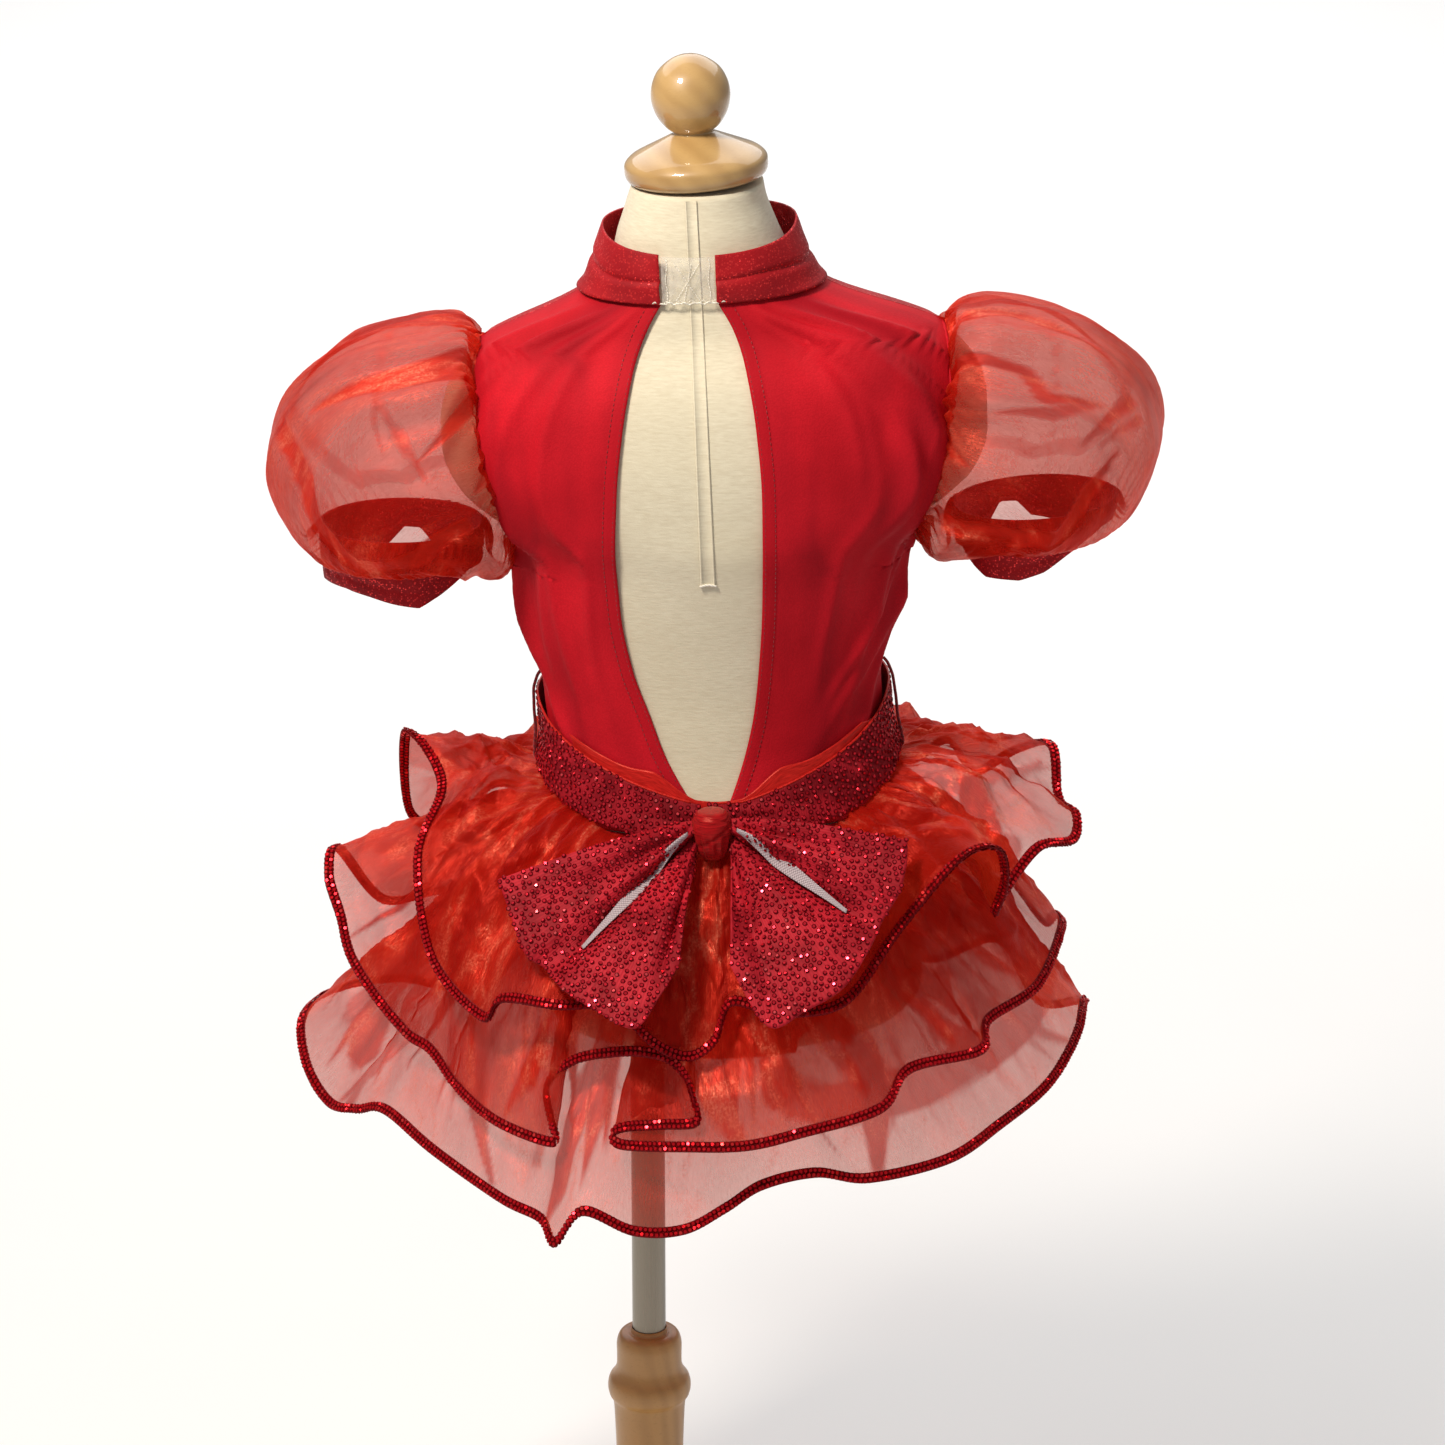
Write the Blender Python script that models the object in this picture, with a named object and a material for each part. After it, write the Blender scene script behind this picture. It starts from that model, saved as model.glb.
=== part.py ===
"""Skirted leotard with puff sleeves, standing on a small dress form.

Metres, +Z up.  The open back faces -Y and +X is to the right when the back is looked at.
The origin is the middle of the underside of the stand's base, on the floor.
The torso of the form leans a little on its upright pole, so the form and all the cloth
are drawn in the torso's own axes (millimetres, z = 0 at the waist) and hung on one empty.
"""

import math

import bmesh
import bpy
from mathutils import Vector

MM = 0.001

# Sizes of the whole, millimetres and degrees

WAIST_X = 44.7          # the waist's middle stands to the right of the pole
WAIST_Z = 713.8         # height of the waist above the floor
LEAN = -2.2             # the torso's top leans to the left
SQUARE = 0.07           # how much squarer than an ellipse a body section is
CLEAR = 1.2             # air between the form and the cloth
CLOTH = 1.2             # stretch cloth wall
ORGANZA = 1.0           # organza wall
SEAM = 0.3              # gap left at every seam
WAIST_SEAM_Z = -60.0    # where the bodice meets the brief
NECK_SEAM_Z = 252.0     # where the bodice meets the collar
SIDE_SEAM = 84.0        # side seams, degrees from the centre back
POLE_R = 10.5
BASE_R = 150.0
BASE_H = 25.0
COLUMN_TOP = 285.0
POLE_FOOT = 140.0

# The form's body: height, half width, depth to the back and to the front, shift sideways

BODY = [
    # z, half, back, front, shift
    (-190, 116, 92, 93, 0),
    (-165, 117, 95, 95, 0),
    (-135, 117, 96, 95, 0),
    (-100, 114, 93, 92, 0),
    (-68, 110, 86, 88, -1),
    (-40, 103, 77, 82, -2),
    (-15, 98, 72, 77, -3),
    (10, 98, 71, 76, -4),
    (40, 102, 73, 78, -4),
    (70, 108, 77, 81, -2),
    (95, 112, 81, 84, 1),
    (105, 115, 83, 85, 2),
    (114, 124, 84, 84, 2),
    (124, 139, 84, 83, 2),
    (138, 153, 84, 82, 3),
    (158, 160, 83, 80, 3),
    (176, 160, 80, 76, 3),
    (192, 157, 76, 71, 4),
    (206, 149, 70, 64, 4),
    (216, 140, 63, 57, 4),
    (224, 129, 57, 52, 3.5),
    (231.5, 111, 53, 49, 2.5),
    (239.5, 89, 51, 47, 1),
    (248, 71, 49, 46, 0),
    (259, 57, 47, 44, -1),
    (272, 51, 45, 43, -1),
    (286, 46, 43, 42, -2),
    (300, 41, 40, 40, -2),
    (311, 38, 38, 38, -1),
]
BOTTOM_DROP = 23.0      # how far the rounded bottom hangs below the lowest section

# The armhole seam: height, how far out it runs

ARMHOLE = [
    # z, out
    (95, 113),
    (105, 113.8),
    (114, 116.5),
    (124, 120),
    (138, 125),
    (158, 130.5),
    (176, 133.5),
    (192, 134.5),
    (206, 134.5),
    (216, 134),
    (224, 133),
]

# The open back: height, left edge, right edge

KEYHOLE = [
    # z, left, right
    (-60, -8.0, -6.8),
    (-50, -12, 0),
    (-35, -22, 7),
    (-15, -32, 14),
    (10, -40, 20),
    (40, -49, 24),
    (75, -54, 27),
    (112, -55, 28.5),
    (148, -53, 29.5),
    (185, -48, 27.5),
    (215, -41, 23),
    (235, -33, 17),
    (252, -23, 8),
]

# Soft folds of the back: side, top angle, top height, foot angle, foot height, width, rise

BACK_FOLDS = [
    # side, top_deg, top_z, foot_deg, foot_z, width_deg, rise
    (-1, 62, 235, 74, 60, 6.0, 2.2),
    (-1, 48, 225, 60, 20, 5.0, 1.5),
    (-1, 76, 75, 50, -40, 6.0, 1.6),
    (1, 24, 240, 66, 120, 5.0, 2.2),
    (1, 34, 245, 44, 90, 5.0, 1.6),
    (1, 80, 80, 36, -10, 6.0, 2.0),
    (1, 76, 40, 40, -45, 5.0, 1.5),
]

# The collar at the back: height, half width, depth back, depth front

COLLAR = [
    # z, half, back, front
    (252.3, 71.2, 51.4, 49.6),
    (256, 66.5, 51.8, 49.8),
    (261, 63, 51.8, 49.8),
    (270, 58.5, 51.4, 49.4),
    (280, 54.5, 50, 48),
]
COLLAR_OPEN = (-23.0, 8.5)      # left and right end of the collar's gap at the back
COLLAR_RISE = 9.0               # how much higher the collar stands at the sides and front
COLLAR_SHIFT = -0.8
SLEEVE_TILT = {-1: -0.01, 1: 0.04}     # how far each puff's outer side leans out at the top
SHOULDER_SHIFT = 3.0            # sleeves and cuffs sit to the right of the waist's middle

# Sleeve rings in the plane of the shoulder: outer top x and z, inner foot x and z,
# half depth, squareness, how far the back and front of the ring hang, gather ripple

SLEEVE = [
    # out_x, out_z, in_x, in_z, depth, square, hang, ripple
    (144, 232, 120.5, 88, 60, 0.22, 0, 1.8),
    (170, 234, 124.5, 83, 74, 0.14, 0, 1.8),
    (214, 221, 128.5, 81, 81, 0.07, 0, 1.4),
    (248, 193, 132, 82, 82, 0, 1, 0.8),
    (262, 158, 134.5, 86, 80, 0, 2, 0.6),
    (257, 127, 135, 93, 74, 0, 3, 0.8),
    (245, 106, 134.5, 101, 62, 0, 5, 1.0),
    (235.6, 115, 138.4, 112, 44.6, 0, 0, 0),
]
SLEEVE_GATHERS = 10

# Creases pressed into the puffs: side, angle round the ring, first and last ring, width, depth

SLEEVE_CREASES = [
    # side, round_deg, from_ring, to_ring, width_deg, depth
    (-1, 48, 0.4, 4.2, 9, 9),
    (-1, 100, 0.2, 3.0, 8, 7),
    (-1, 20, 2.0, 6.0, 8, 4),
    (-1, 322, 0.4, 4.0, 9, 8),
    (-1, 250, 0.2, 3.4, 8, 6),
    (1, 30, 0.4, 4.6, 9, 9),
    (1, 66, 0.3, 3.4, 9, 8),
    (1, 92, 2.6, 5.6, 8, 5),
    (1, 318, 0.4, 4.4, 9, 8),
    (1, 262, 0.2, 3.2, 8, 6),
]

# Cuff edges: angle round from the top outer side, height of the lower and the upper edge

CUFF_X = 187.0
CUFF_HALF = (47.0, 43.0)
CUFF_DROP = {
    # side: heights of the lower edge at the outer, back, inner and front side
    -1: (82, 75, 89, 86),
    1: (95, 76, 86, 90),
}
CUFF_TOP = (116.0, 112.0)       # outer and inner height of the upper edge

# The sash: degrees from the centre back, lower edge, upper edge

SASH = [
    # deg, low, high
    (-180, -40, 6),
    (-130, -39, 7),
    (-90, -37, 5),
    (-62, -46, -8),
    (-38, -56, -24),
    (-20, -61, -35),
    (-7, -62, -42),
]
SASH_OFF = 3.5                  # the sash lies outside the lining strip
LINING_SHOW = 6.0               # satin standing above the sash's back edges

# Skirt ruffles: waist seam heights at the side and the centre back, profile, hem rows

TIER_SEAM = [
    # side_z, back_z, off_body, drop_power, side_lift, back_sag
    (-44, -69, 4.2, 1.5, 2, 8),
    (-74, -94, 4.2, 1.15, 2, 0),
    (-104, -120, 4.2, 0.9, 0, 0),
]

HEM_TOP = [
    # deg, reach, z
    (0, 165, -134),
    (6, 168, -136),
    (13, 180, -137),
    (22, 186, -130),
    (34, 180, -97),
    (45, 194, -59),
    (53, 200, -61),
    (56, 198, -86),
    (58, 186, -111),
    (64, 183, -106),
    (72, 196, -86),
    (80, 212, -91),
    (85, 213, -81),
    (89, 203, -76),
    (96, 202, -51),
    (108, 190, -68),
    (119, 178, -92),
    (131, 186, -84),
    (143, 190, -108),
    (155, 184, -88),
    (167, 190, -114),
    (180, 184, -92),
    (193, 190, -116),
    (206, 184, -94),
    (219, 190, -116),
    (232, 186, -100),
    (243, 196, -116),
    (255, 203, -92),
    (267, 192, -22),
    (280, 172, -42),
    (292, 197, -72),
    (301, 204, -124),
    (315, 204, -146),
    (319, 200, -132),
    (330, 197, -129),
    (338, 180, -133),
    (346, 184, -151),
    (352, 180, -161),
    (357, 175, -153),
]

HEM_MIDDLE = [
    # deg, reach, z
    (11, 199, -204),
    (25, 203, -195),
    (33, 190, -182),
    (48, 197, -184),
    (55, 186, -176),
    (70, 196, -172),
    (87, 203, -159),
    (98, 203, -166),
    (110, 208, -188),
    (123, 203, -168),
    (137, 210, -192),
    (151, 204, -170),
    (165, 210, -194),
    (180, 204, -172),
    (195, 210, -194),
    (210, 206, -170),
    (225, 214, -190),
    (240, 214, -168),
    (254, 226, -154),
    (267, 239, -98),
    (272, 243, -108),
    (276, 237, -128),
    (280, 233, -148),
    (287, 223, -165),
    (294, 212, -181),
    (299, 205, -186),
    (308, 205, -200),
    (319, 210, -207),
    (329, 213, -210),
    (331, 203, -200),
    (332, 193, -182),
    (338, 182, -171),
    (345, 181, -172),
    (350, 186, -190),
    (354, 194, -207),
    (2, 199, -210),
]

HEM_LOW = [
    # deg, reach, z
    (5, 179, -244),
    (15, 181, -239),
    (23, 198, -240),
    (38, 203, -240),
    (52, 200, -236),
    (67, 205, -231),
    (80, 212, -220),
    (90, 216, -214),
    (102, 222, -232),
    (116, 214, -252),
    (130, 222, -230),
    (144, 212, -254),
    (158, 222, -232),
    (172, 212, -256),
    (186, 222, -234),
    (200, 214, -256),
    (214, 226, -234),
    (228, 222, -254),
    (243, 240, -228),
    (258, 256, -210),
    (268, 267, -208),
    (275, 264, -226),
    (280, 252, -243),
    (285, 238, -240),
    (291, 226, -232),
    (304, 217, -241),
    (320, 215, -253),
    (328, 216, -258),
    (332, 226, -266),
    (335, 212, -250),
    (343, 205, -262),
    (351, 197, -263),
    (358, 187, -254),
]

# The bow's halves: the far end's corners from the upper to the lower side

BOW_LEFT = [
    # x, y, z
    (-131, -122, -68),
    (-124, -138, -84),
    (-116, -155, -101),
    (-104, -160, -109),
    (-94, -181, -113),
    (-74, -194, -122),
    (-53, -205, -128),
    (-38, -192, -114),
    (-27, -177, -101),
]
BOW_RIGHT = [
    # x, y, z
    (106, -131, -49),
    (105, -142, -59),
    (100, -152, -73),
    (90, -156, -88),
    (82, -170, -99),
    (66, -186, -116),
    (44, -194, -126),
    (22, -200, -132),
    (2, -172, -106),
]
BOW_ROOT = {
    # side: x, y, upper z, lower z of the gathered end beside the knot
    -1: (-16.3, -102, -44, -62),
    1: (4.0, -102, -44, -62),
}
KNOT = (-6.5, -101.9, -53)
KNOT_HALF = (10, 12, 15)

# The crotch strip of the brief

CROTCH_HALF = 27.0
BRIEF_CLEAR = 2.0
LEG_CUT = [
    # z, half angle of the back, half angle of the front
    (-60.5, 84, 96),
    (-80, 84, 96),
    (-92, 84, 93),
    (-102, 82, 84),
    (-112, 76, 72),
    (-124, 67, 58),
    (-138, 56, 45),
    (-152, 45, 33),
    (-168, 33, 23),
    (-190, 17, 15),
]

# Colours, roughness and metallic share of each material

LOOKS = {
    "red_mesh": ((0.58, 0.012, 0.022), 0.55, 0.0),
    "red_glitter": ((0.33, 0.006, 0.014), 0.35, 0.1),
    "red_sequin": ((0.47, 0.010, 0.026), 0.28, 0.3),
    "red_satin": ((0.66, 0.030, 0.016), 0.35, 0.0),
    "red_organza": ((0.60, 0.045, 0.020), 0.40, 0.0),
    "clear_tab": ((0.80, 0.76, 0.70), 0.35, 0.0),
    "cream_jersey": ((0.80, 0.73, 0.53), 0.85, 0.0),
    "pale_maple": ((0.70, 0.44, 0.20), 0.25, 0.0),
    "turned_wood": ((0.42, 0.25, 0.10), 0.45, 0.0),
    "brushed_steel": ((0.50, 0.49, 0.46), 0.30, 1.0),
}


for old in list(bpy.data.objects):
    bpy.data.objects.remove(old, do_unlink=True)


def look(name, kind):
    """A plain material for one named object."""
    colour, rough, metal = LOOKS[kind]
    mat = bpy.data.materials.new(name + "_" + kind)
    mat.use_nodes = True
    shader = mat.node_tree.nodes["Principled BSDF"]
    shader.inputs["Base Color"].default_value = (*colour, 1.0)
    shader.inputs["Roughness"].default_value = rough
    shader.inputs["Metallic"].default_value = metal
    mat.diffuse_color = (*colour, 1.0)
    return mat


def node(name, kind, verts, faces, parent):
    """One closed solid from points in millimetres."""
    mesh = bpy.data.meshes.new(name)
    mesh.from_pydata([Vector(v) * MM for v in verts], [], faces)
    work = bmesh.new()
    work.from_mesh(mesh)
    bmesh.ops.recalc_face_normals(work, faces=work.faces)
    if work.calc_volume(signed=True) < 0:
        bmesh.ops.reverse_faces(work, faces=work.faces)
    bmesh.ops.triangulate(work, faces=work.faces)
    work.to_mesh(mesh)
    work.free()
    for poly in mesh.polygons:
        poly.use_smooth = True
    mesh.materials.append(look(name, kind))
    obj = bpy.data.objects.new(name, mesh)
    bpy.context.scene.collection.objects.link(obj)
    obj.parent = parent
    return obj


def table_at(rows, key, col):
    """Smooth value of a table's column, never past its neighbours."""
    if key <= rows[0][0]:
        return rows[0][col]
    if key >= rows[-1][0]:
        return rows[-1][col]
    i = max(k for k in range(len(rows) - 1) if rows[k][0] <= key)
    slope = [(rows[k + 1][col] - rows[k][col]) / (rows[k + 1][0] - rows[k][0])
             for k in range(len(rows) - 1)]

    def tangent(k):
        if k == 0 or k == len(rows) - 1:
            return slope[0] if k == 0 else slope[-1]
        a, b = slope[k - 1], slope[k]
        return 0.0 if a * b <= 0 else 2 * a * b / (a + b)

    h = rows[i + 1][0] - rows[i][0]
    t = (key - rows[i][0]) / h
    a, b = rows[i][col], rows[i + 1][col]
    return ((2 * t ** 3 - 3 * t ** 2 + 1) * a + (t ** 3 - 2 * t ** 2 + t) * h * tangent(i)
            + (3 * t ** 2 - 2 * t ** 3) * b + (t ** 3 - t ** 2) * h * tangent(i + 1))


def oval(half, back, front, deg):
    """Point of a squarish oval; 0 is the centre back, 90 the right side."""
    s, c = math.sin(math.radians(deg)), math.cos(math.radians(deg))
    depth = back if c > 0 else front
    return half * s * (1 + SQUARE * c * c), -depth * c * (1 + SQUARE * s * s)


def body(z, deg):
    """Point on the form's skin."""
    x, y = oval(table_at(BODY, z, 1), table_at(BODY, z, 2), table_at(BODY, z, 3), deg)
    return Vector((x + table_at(BODY, z, 4), y, z))


def body_normal(z, deg):
    """Outward direction of the form's skin."""
    across = body(z, deg + 1.5) - body(z, deg - 1.5)
    up = body(z + 1.5, deg) - body(z - 1.5, deg)
    return across.cross(up).normalized()


def on_body(z, deg, off):
    """Point lying off the form's skin by a distance."""
    return body(z, deg) + body_normal(z, deg) * off


def body_angle(z, x):
    """Angle at which the back of a body section reaches x."""
    low, high = -90.0, 90.0
    for _ in range(40):
        mid = (low + high) / 2
        if body(z, mid).x < x:
            low = mid
        else:
            high = mid
    return (low + high) / 2


def grid_normals(grid, closed):
    """Mean normal at every point of a grid of points."""
    rows, cols = len(grid), len(grid[0])
    out = []
    for i in range(rows):
        line = []
        for j in range(cols):
            if closed:
                a, b = grid[i][(j - 1) % cols], grid[i][(j + 1) % cols]
            else:
                a, b = grid[i][max(j - 1, 0)], grid[i][min(j + 1, cols - 1)]
            c, d = grid[max(i - 1, 0)][j], grid[min(i + 1, rows - 1)][j]
            line.append((b - a).cross(d - c).normalized())
        out.append(line)
    return out


def wall(name, kind, grid, closed, thick, parent, normals=None):
    """A cloth wall: the grid is its inner face, the outer one lies off it."""
    rows, cols = len(grid), len(grid[0])
    normals = normals or grid_normals(grid, closed)
    inner = [p for row in grid for p in row]
    outer = [p + n * thick for row, ns in zip(grid, normals) for p, n in zip(row, ns)]
    shift = rows * cols
    faces = []
    span = cols if closed else cols - 1
    for i in range(rows - 1):
        for j in range(span):
            k = (j + 1) % cols
            a, b, c, d = i * cols + j, i * cols + k, (i + 1) * cols + k, (i + 1) * cols + j
            faces.append((a, d, c, b))
            faces.append((a + shift, b + shift, c + shift, d + shift))
    for j in range(span):
        k = (j + 1) % cols
        faces.append((j, k, k + shift, j + shift))
        a, b = (rows - 1) * cols + j, (rows - 1) * cols + k
        faces.append((b, a, a + shift, b + shift))
    if not closed:
        for i in range(rows - 1):
            a, b = i * cols, (i + 1) * cols
            faces.append((b, a, a + shift, b + shift))
            a, b = a + cols - 1, b + cols - 1
            faces.append((a, b, b + shift, a + shift))
    return node(name, kind, inner + outer, faces, parent)


def turned(name, kind, profile, sides, parent, middle=(0, 0)):
    """A turned solid from radius and height pairs that start and end on the axis."""
    verts, faces = [], []
    rings = []
    for r, z in profile:
        if r < 1e-6:
            rings.append([len(verts)])
            verts.append((middle[0], middle[1], z))
            continue
        rings.append(list(range(len(verts), len(verts) + sides)))
        for k in range(sides):
            a = 2 * math.pi * k / sides
            verts.append((middle[0] + r * math.cos(a), middle[1] + r * math.sin(a), z))
    for low, high in zip(rings, rings[1:]):
        for k in range(sides):
            m = (k + 1) % sides
            if len(low) == 1:
                faces.append((low[0], high[k], high[m]))
            elif len(high) == 1:
                faces.append((low[k], high[0], low[m]))
            else:
                faces.append((low[k], low[m], high[m], high[k]))
    return node(name, kind, verts, faces, parent)


def cord(name, kind, path, radius, sides, parent):
    """A round cord along a path."""
    verts, faces = [], []
    for i, p in enumerate(path):
        ahead = path[min(i + 1, len(path) - 1)] - path[max(i - 1, 0)]
        side = ahead.cross(Vector((0, 1, 0))).normalized()
        up = side.cross(ahead).normalized()
        for k in range(sides):
            a = 2 * math.pi * k / sides
            verts.append(p + side * radius * math.cos(a) + up * radius * math.sin(a))
    for i in range(len(path) - 1):
        for k in range(sides):
            m = (k + 1) % sides
            faces.append((i * sides + k, i * sides + m, (i + 1) * sides + m, (i + 1) * sides + k))
    faces.append(tuple(range(sides)))
    last = (len(path) - 1) * sides
    faces.append(tuple(last + k for k in reversed(range(sides))))
    return node(name, kind, verts, faces, parent)


def bell(x, width):
    """Soft hump of height one."""
    return math.exp(-(x / width) ** 2)


# Stand: a turned base and column with a steel pole that slides in the column

ground = bpy.data.objects.new("stand_axes", None)
torso = bpy.data.objects.new("torso_axes", None)
for empty in (ground, torso):
    bpy.context.scene.collection.objects.link(empty)
torso.location = Vector((WAIST_X, 0, WAIST_Z)) * MM
torso.rotation_euler = (0, math.radians(LEAN), 0)

turned("stand_base", "turned_wood", [
    (0, 0), (BASE_R - 4, 0), (BASE_R, 4), (BASE_R, 12), (BASE_R - 8, 18),
    (70, BASE_H - 1), (0, BASE_H)], 32, ground)

turned("stand_column", "turned_wood", [
    (0, BASE_H + SEAM), (30, BASE_H + SEAM), (31, 30), (24, 44), (21.2, 70), (20.6, 120),
    (21, 190), (22, 225), (23, 238), (25.8, 243), (25.8, 252), (22.5, 257), (20.4, 262),
    (20.4, COLUMN_TOP - 7), (18.5, COLUMN_TOP - 1.5), (15, COLUMN_TOP),
    (POLE_R + SEAM, COLUMN_TOP - 3), (POLE_R + SEAM, POLE_FOOT - SEAM),
    (0, POLE_FOOT - SEAM)], 22, ground)

turned("stand_pole", "brushed_steel", [
    (0, POLE_FOOT), (POLE_R - 0.6, POLE_FOOT), (POLE_R, POLE_FOOT + 0.6), (POLE_R, 604.4),
    (POLE_R - 0.6, 605), (0, 605)], 20, ground)

# The form: padded body covered in cream jersey, bored for the pole

BODY_SIDES = 26
body_points, body_faces = [], []
levels = [row[0] for row in BODY]
low_z = levels[0]
for share in (0.0, 0.35, 0.62, 0.84, 0.96):
    drop = math.sqrt(1 - share * share) * BOTTOM_DROP if share else BOTTOM_DROP
    for k in range(BODY_SIDES if share else 1):
        if share:
            p = body(low_z, 360 * k / BODY_SIDES)
            body_points.append((p.x * share, p.y * share, low_z - drop))
        else:
            body_points.append((0, 0, low_z - drop))
for z in levels:
    body_points += [body(z, 360 * k / BODY_SIDES) for k in range(BODY_SIDES)]
body_points.append((0, 0, levels[-1]))
for k in range(BODY_SIDES):
    m = (k + 1) % BODY_SIDES
    body_faces.append((0, 1 + m, 1 + k))
    for ring in range(len(levels) + 3):
        a = 1 + ring * BODY_SIDES
        b = a + BODY_SIDES
        body_faces.append((a + k, a + m, b + m, b + k))
    top = 1 + (len(levels) + 3) * BODY_SIDES
    body_faces.append((top + k, top + m, len(body_points) - 1))
form = node("form_torso", "cream_jersey", body_points, body_faces, torso)

bore = turned("pole_bore", "cream_jersey", [
    (0, 440), (POLE_R + SEAM, 440), (POLE_R + SEAM, 605 + SEAM), (0, 605 + SEAM)], 24, ground)
bore.hide_render = True
bore.display_type = "WIRE"
cut = form.modifiers.new("pole bore", "BOOLEAN")
cut.operation = "DIFFERENCE"
cut.solver = "EXACT"
cut.object = bore

# Turned and lacquered neck cap with its ball, leaning a little more than the torso

cap = turned("neck_cap", "pale_maple", [
    (0, 0), (36, 0), (40.6, 3.5), (41.5, 7.5), (41.2, 11.5), (36, 16), (24, 21.5), (15, 26),
    (12, 28), (15.8, 31.5), (20, 37.5), (22.3, 44), (22.8, 50), (21.6, 57), (17.8, 64),
    (11, 69.5), (0, 72.4)], 20, torso)
cap.rotation_euler = (0, math.radians(-2.2), 0)
cap.location = Vector((-1, 0, 312.9)) * MM


# Bodice: one front and two backs of red mesh with the armholes and the open back cut away

ARM_LEVELS = [95, 105, 114, 124, 138, 158, 176, 192, 206, 216, 224]
PANEL_LEVELS = [WAIST_SEAM_Z, -40, -15, 10, 40, 70] + ARM_LEVELS + [231.5, 239.5, NECK_SEAM_Z]


def panel_limit(z):
    """Angle at which a back or front panel ends: side seam, armhole or shoulder seam."""
    if z < 94:
        return SIDE_SEAM
    if z > ARM_LEVELS[-1] + 1:
        return 90.0
    return min(body_angle(z, table_at(ARMHOLE, z, 1) + table_at(BODY, z, 4)), 89.9)


def front_limit(z):
    """Side seam seen from the front, where the panel starts."""
    if z < 94:
        return SIDE_SEAM
    return 180.0 - panel_limit(z)


def seam_deg(z):
    """Half a seam gap as an angle at this height."""
    return math.degrees(0.5 * SEAM / table_at(BODY, z, 1)) * 1.2


def panel_air(z):
    """Air under a panel, a little more where the cloth bridges the underarm."""
    return CLEAR + 0.9 * bell(z - 114, 16)


def fold_rise(side, z, deg):
    """Height of the soft folds of a back panel."""
    total = 0.0
    for owner, top_deg, top_z, foot_deg, foot_z, width, rise in BACK_FOLDS:
        if owner != side or not foot_z - 30 < z < top_z + 30:
            continue
        share = (z - foot_z) / (top_z - foot_z)
        line = foot_deg + (top_deg - foot_deg) * share
        fade = min(1.0, max(0.0, (z - foot_z + 30) / 40), max(0.0, (top_z + 30 - z) / 40))
        total += rise * fade * bell(deg - line, width)
    return total


def back_panel(side, name):
    grid, normals = [], []
    columns = 9
    for z in PANEL_LEVELS:
        edge = side * body_angle(z, table_at(KEYHOLE, z, 1 if side < 0 else 2))
        limit = panel_limit(z) - seam_deg(z)
        row, row_normals = [], []
        for j in range(columns):
            t = j / (columns - 1)
            deg = edge + (limit - edge) * t
            ease = min(1.0, 5 * t, 5 * (1 - t), max(0.0, (z + 45) / 30),
                       max(0.0, (NECK_SEAM_Z - z) / 12))
            off = panel_air(z) + fold_rise(side, z, deg) * max(0.0, ease)
            row.append(on_body(z, side * deg, off))
            row_normals.append(body_normal(z, side * deg))
        grid.append(row)
        normals.append(row_normals)
    return wall(name, "red_mesh", grid, False, CLOTH, torso, normals)


back_panel(-1, "back_left")
back_panel(1, "back_right")

front_grid, front_normals = [], []
FRONT_COLUMNS = 14
for z in PANEL_LEVELS:
    start = front_limit(z) + seam_deg(z)
    row, row_normals = [], []
    for j in range(FRONT_COLUMNS):
        deg = start + (360 - 2 * start) * j / (FRONT_COLUMNS - 1)
        row.append(on_body(z, deg, panel_air(z)))
        row_normals.append(body_normal(z, deg))
    front_grid.append(row)
    front_normals.append(row_normals)
wall("front_bodice", "red_glitter", front_grid, False, CLOTH, torso, front_normals)

# Brief: back and front below the waist seam, cut away for the legs, joined at the crotch


def bottom_point(share, u, half, back):
    """Point of the crotch strip under the rounded bottom of the form."""
    z0 = levels[0]
    width = half + (CROTCH_HALF - half) * (1 - share)
    x = u * width
    half_b = table_at(BODY, z0, 1)
    depth = table_at(BODY, z0, 2 if back else 3)
    rim = depth * (1 + SQUARE * 0.2) * math.sqrt(max(0.0, 1 - (x / half_b) ** 2))
    y = rim * share
    reach = min(1.0, math.sqrt((x / half_b) ** 2 + (y / depth) ** 2))
    drop = math.sqrt(max(0.0, 1 - reach * reach)) * BOTTOM_DROP
    return Vector((x, -y if back else y, z0 - drop))


def brief(name, back):
    grid = []
    turn = 0 if back else 180
    columns = 11
    for row in LEG_CUT:
        half = (row[1] if back else row[2]) - seam_deg(row[0])
        grid.append([on_body(row[0], turn + half * (2 * j / (columns - 1) - 1), BRIEF_CLEAR)
                     for j in range(columns)])
    edge = abs(grid[-1][0].x)
    flip = 1 if back else -1
    for share in (0.93, 0.8, 0.6, 0.35, 0.0):
        line = []
        for j in range(columns):
            u = flip * (2 * j / (columns - 1) - 1)
            p = bottom_point(share, u, edge, back)
            if share == 0:
                p.y = -SEAM / 2 if back else SEAM / 2
            push = Vector((p.x / 240, p.y / 150, -1 - 0.4 * share)).normalized()
            line.append(p + push * (BRIEF_CLEAR + 0.4))
        grid.append(line)
    grid.reverse()
    return wall(name, "red_mesh", grid, False, CLOTH, torso)


brief("brief_back", True)
brief("brief_front", False)

# Collar: a stand-up band, flared at its foot, open at the back

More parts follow.
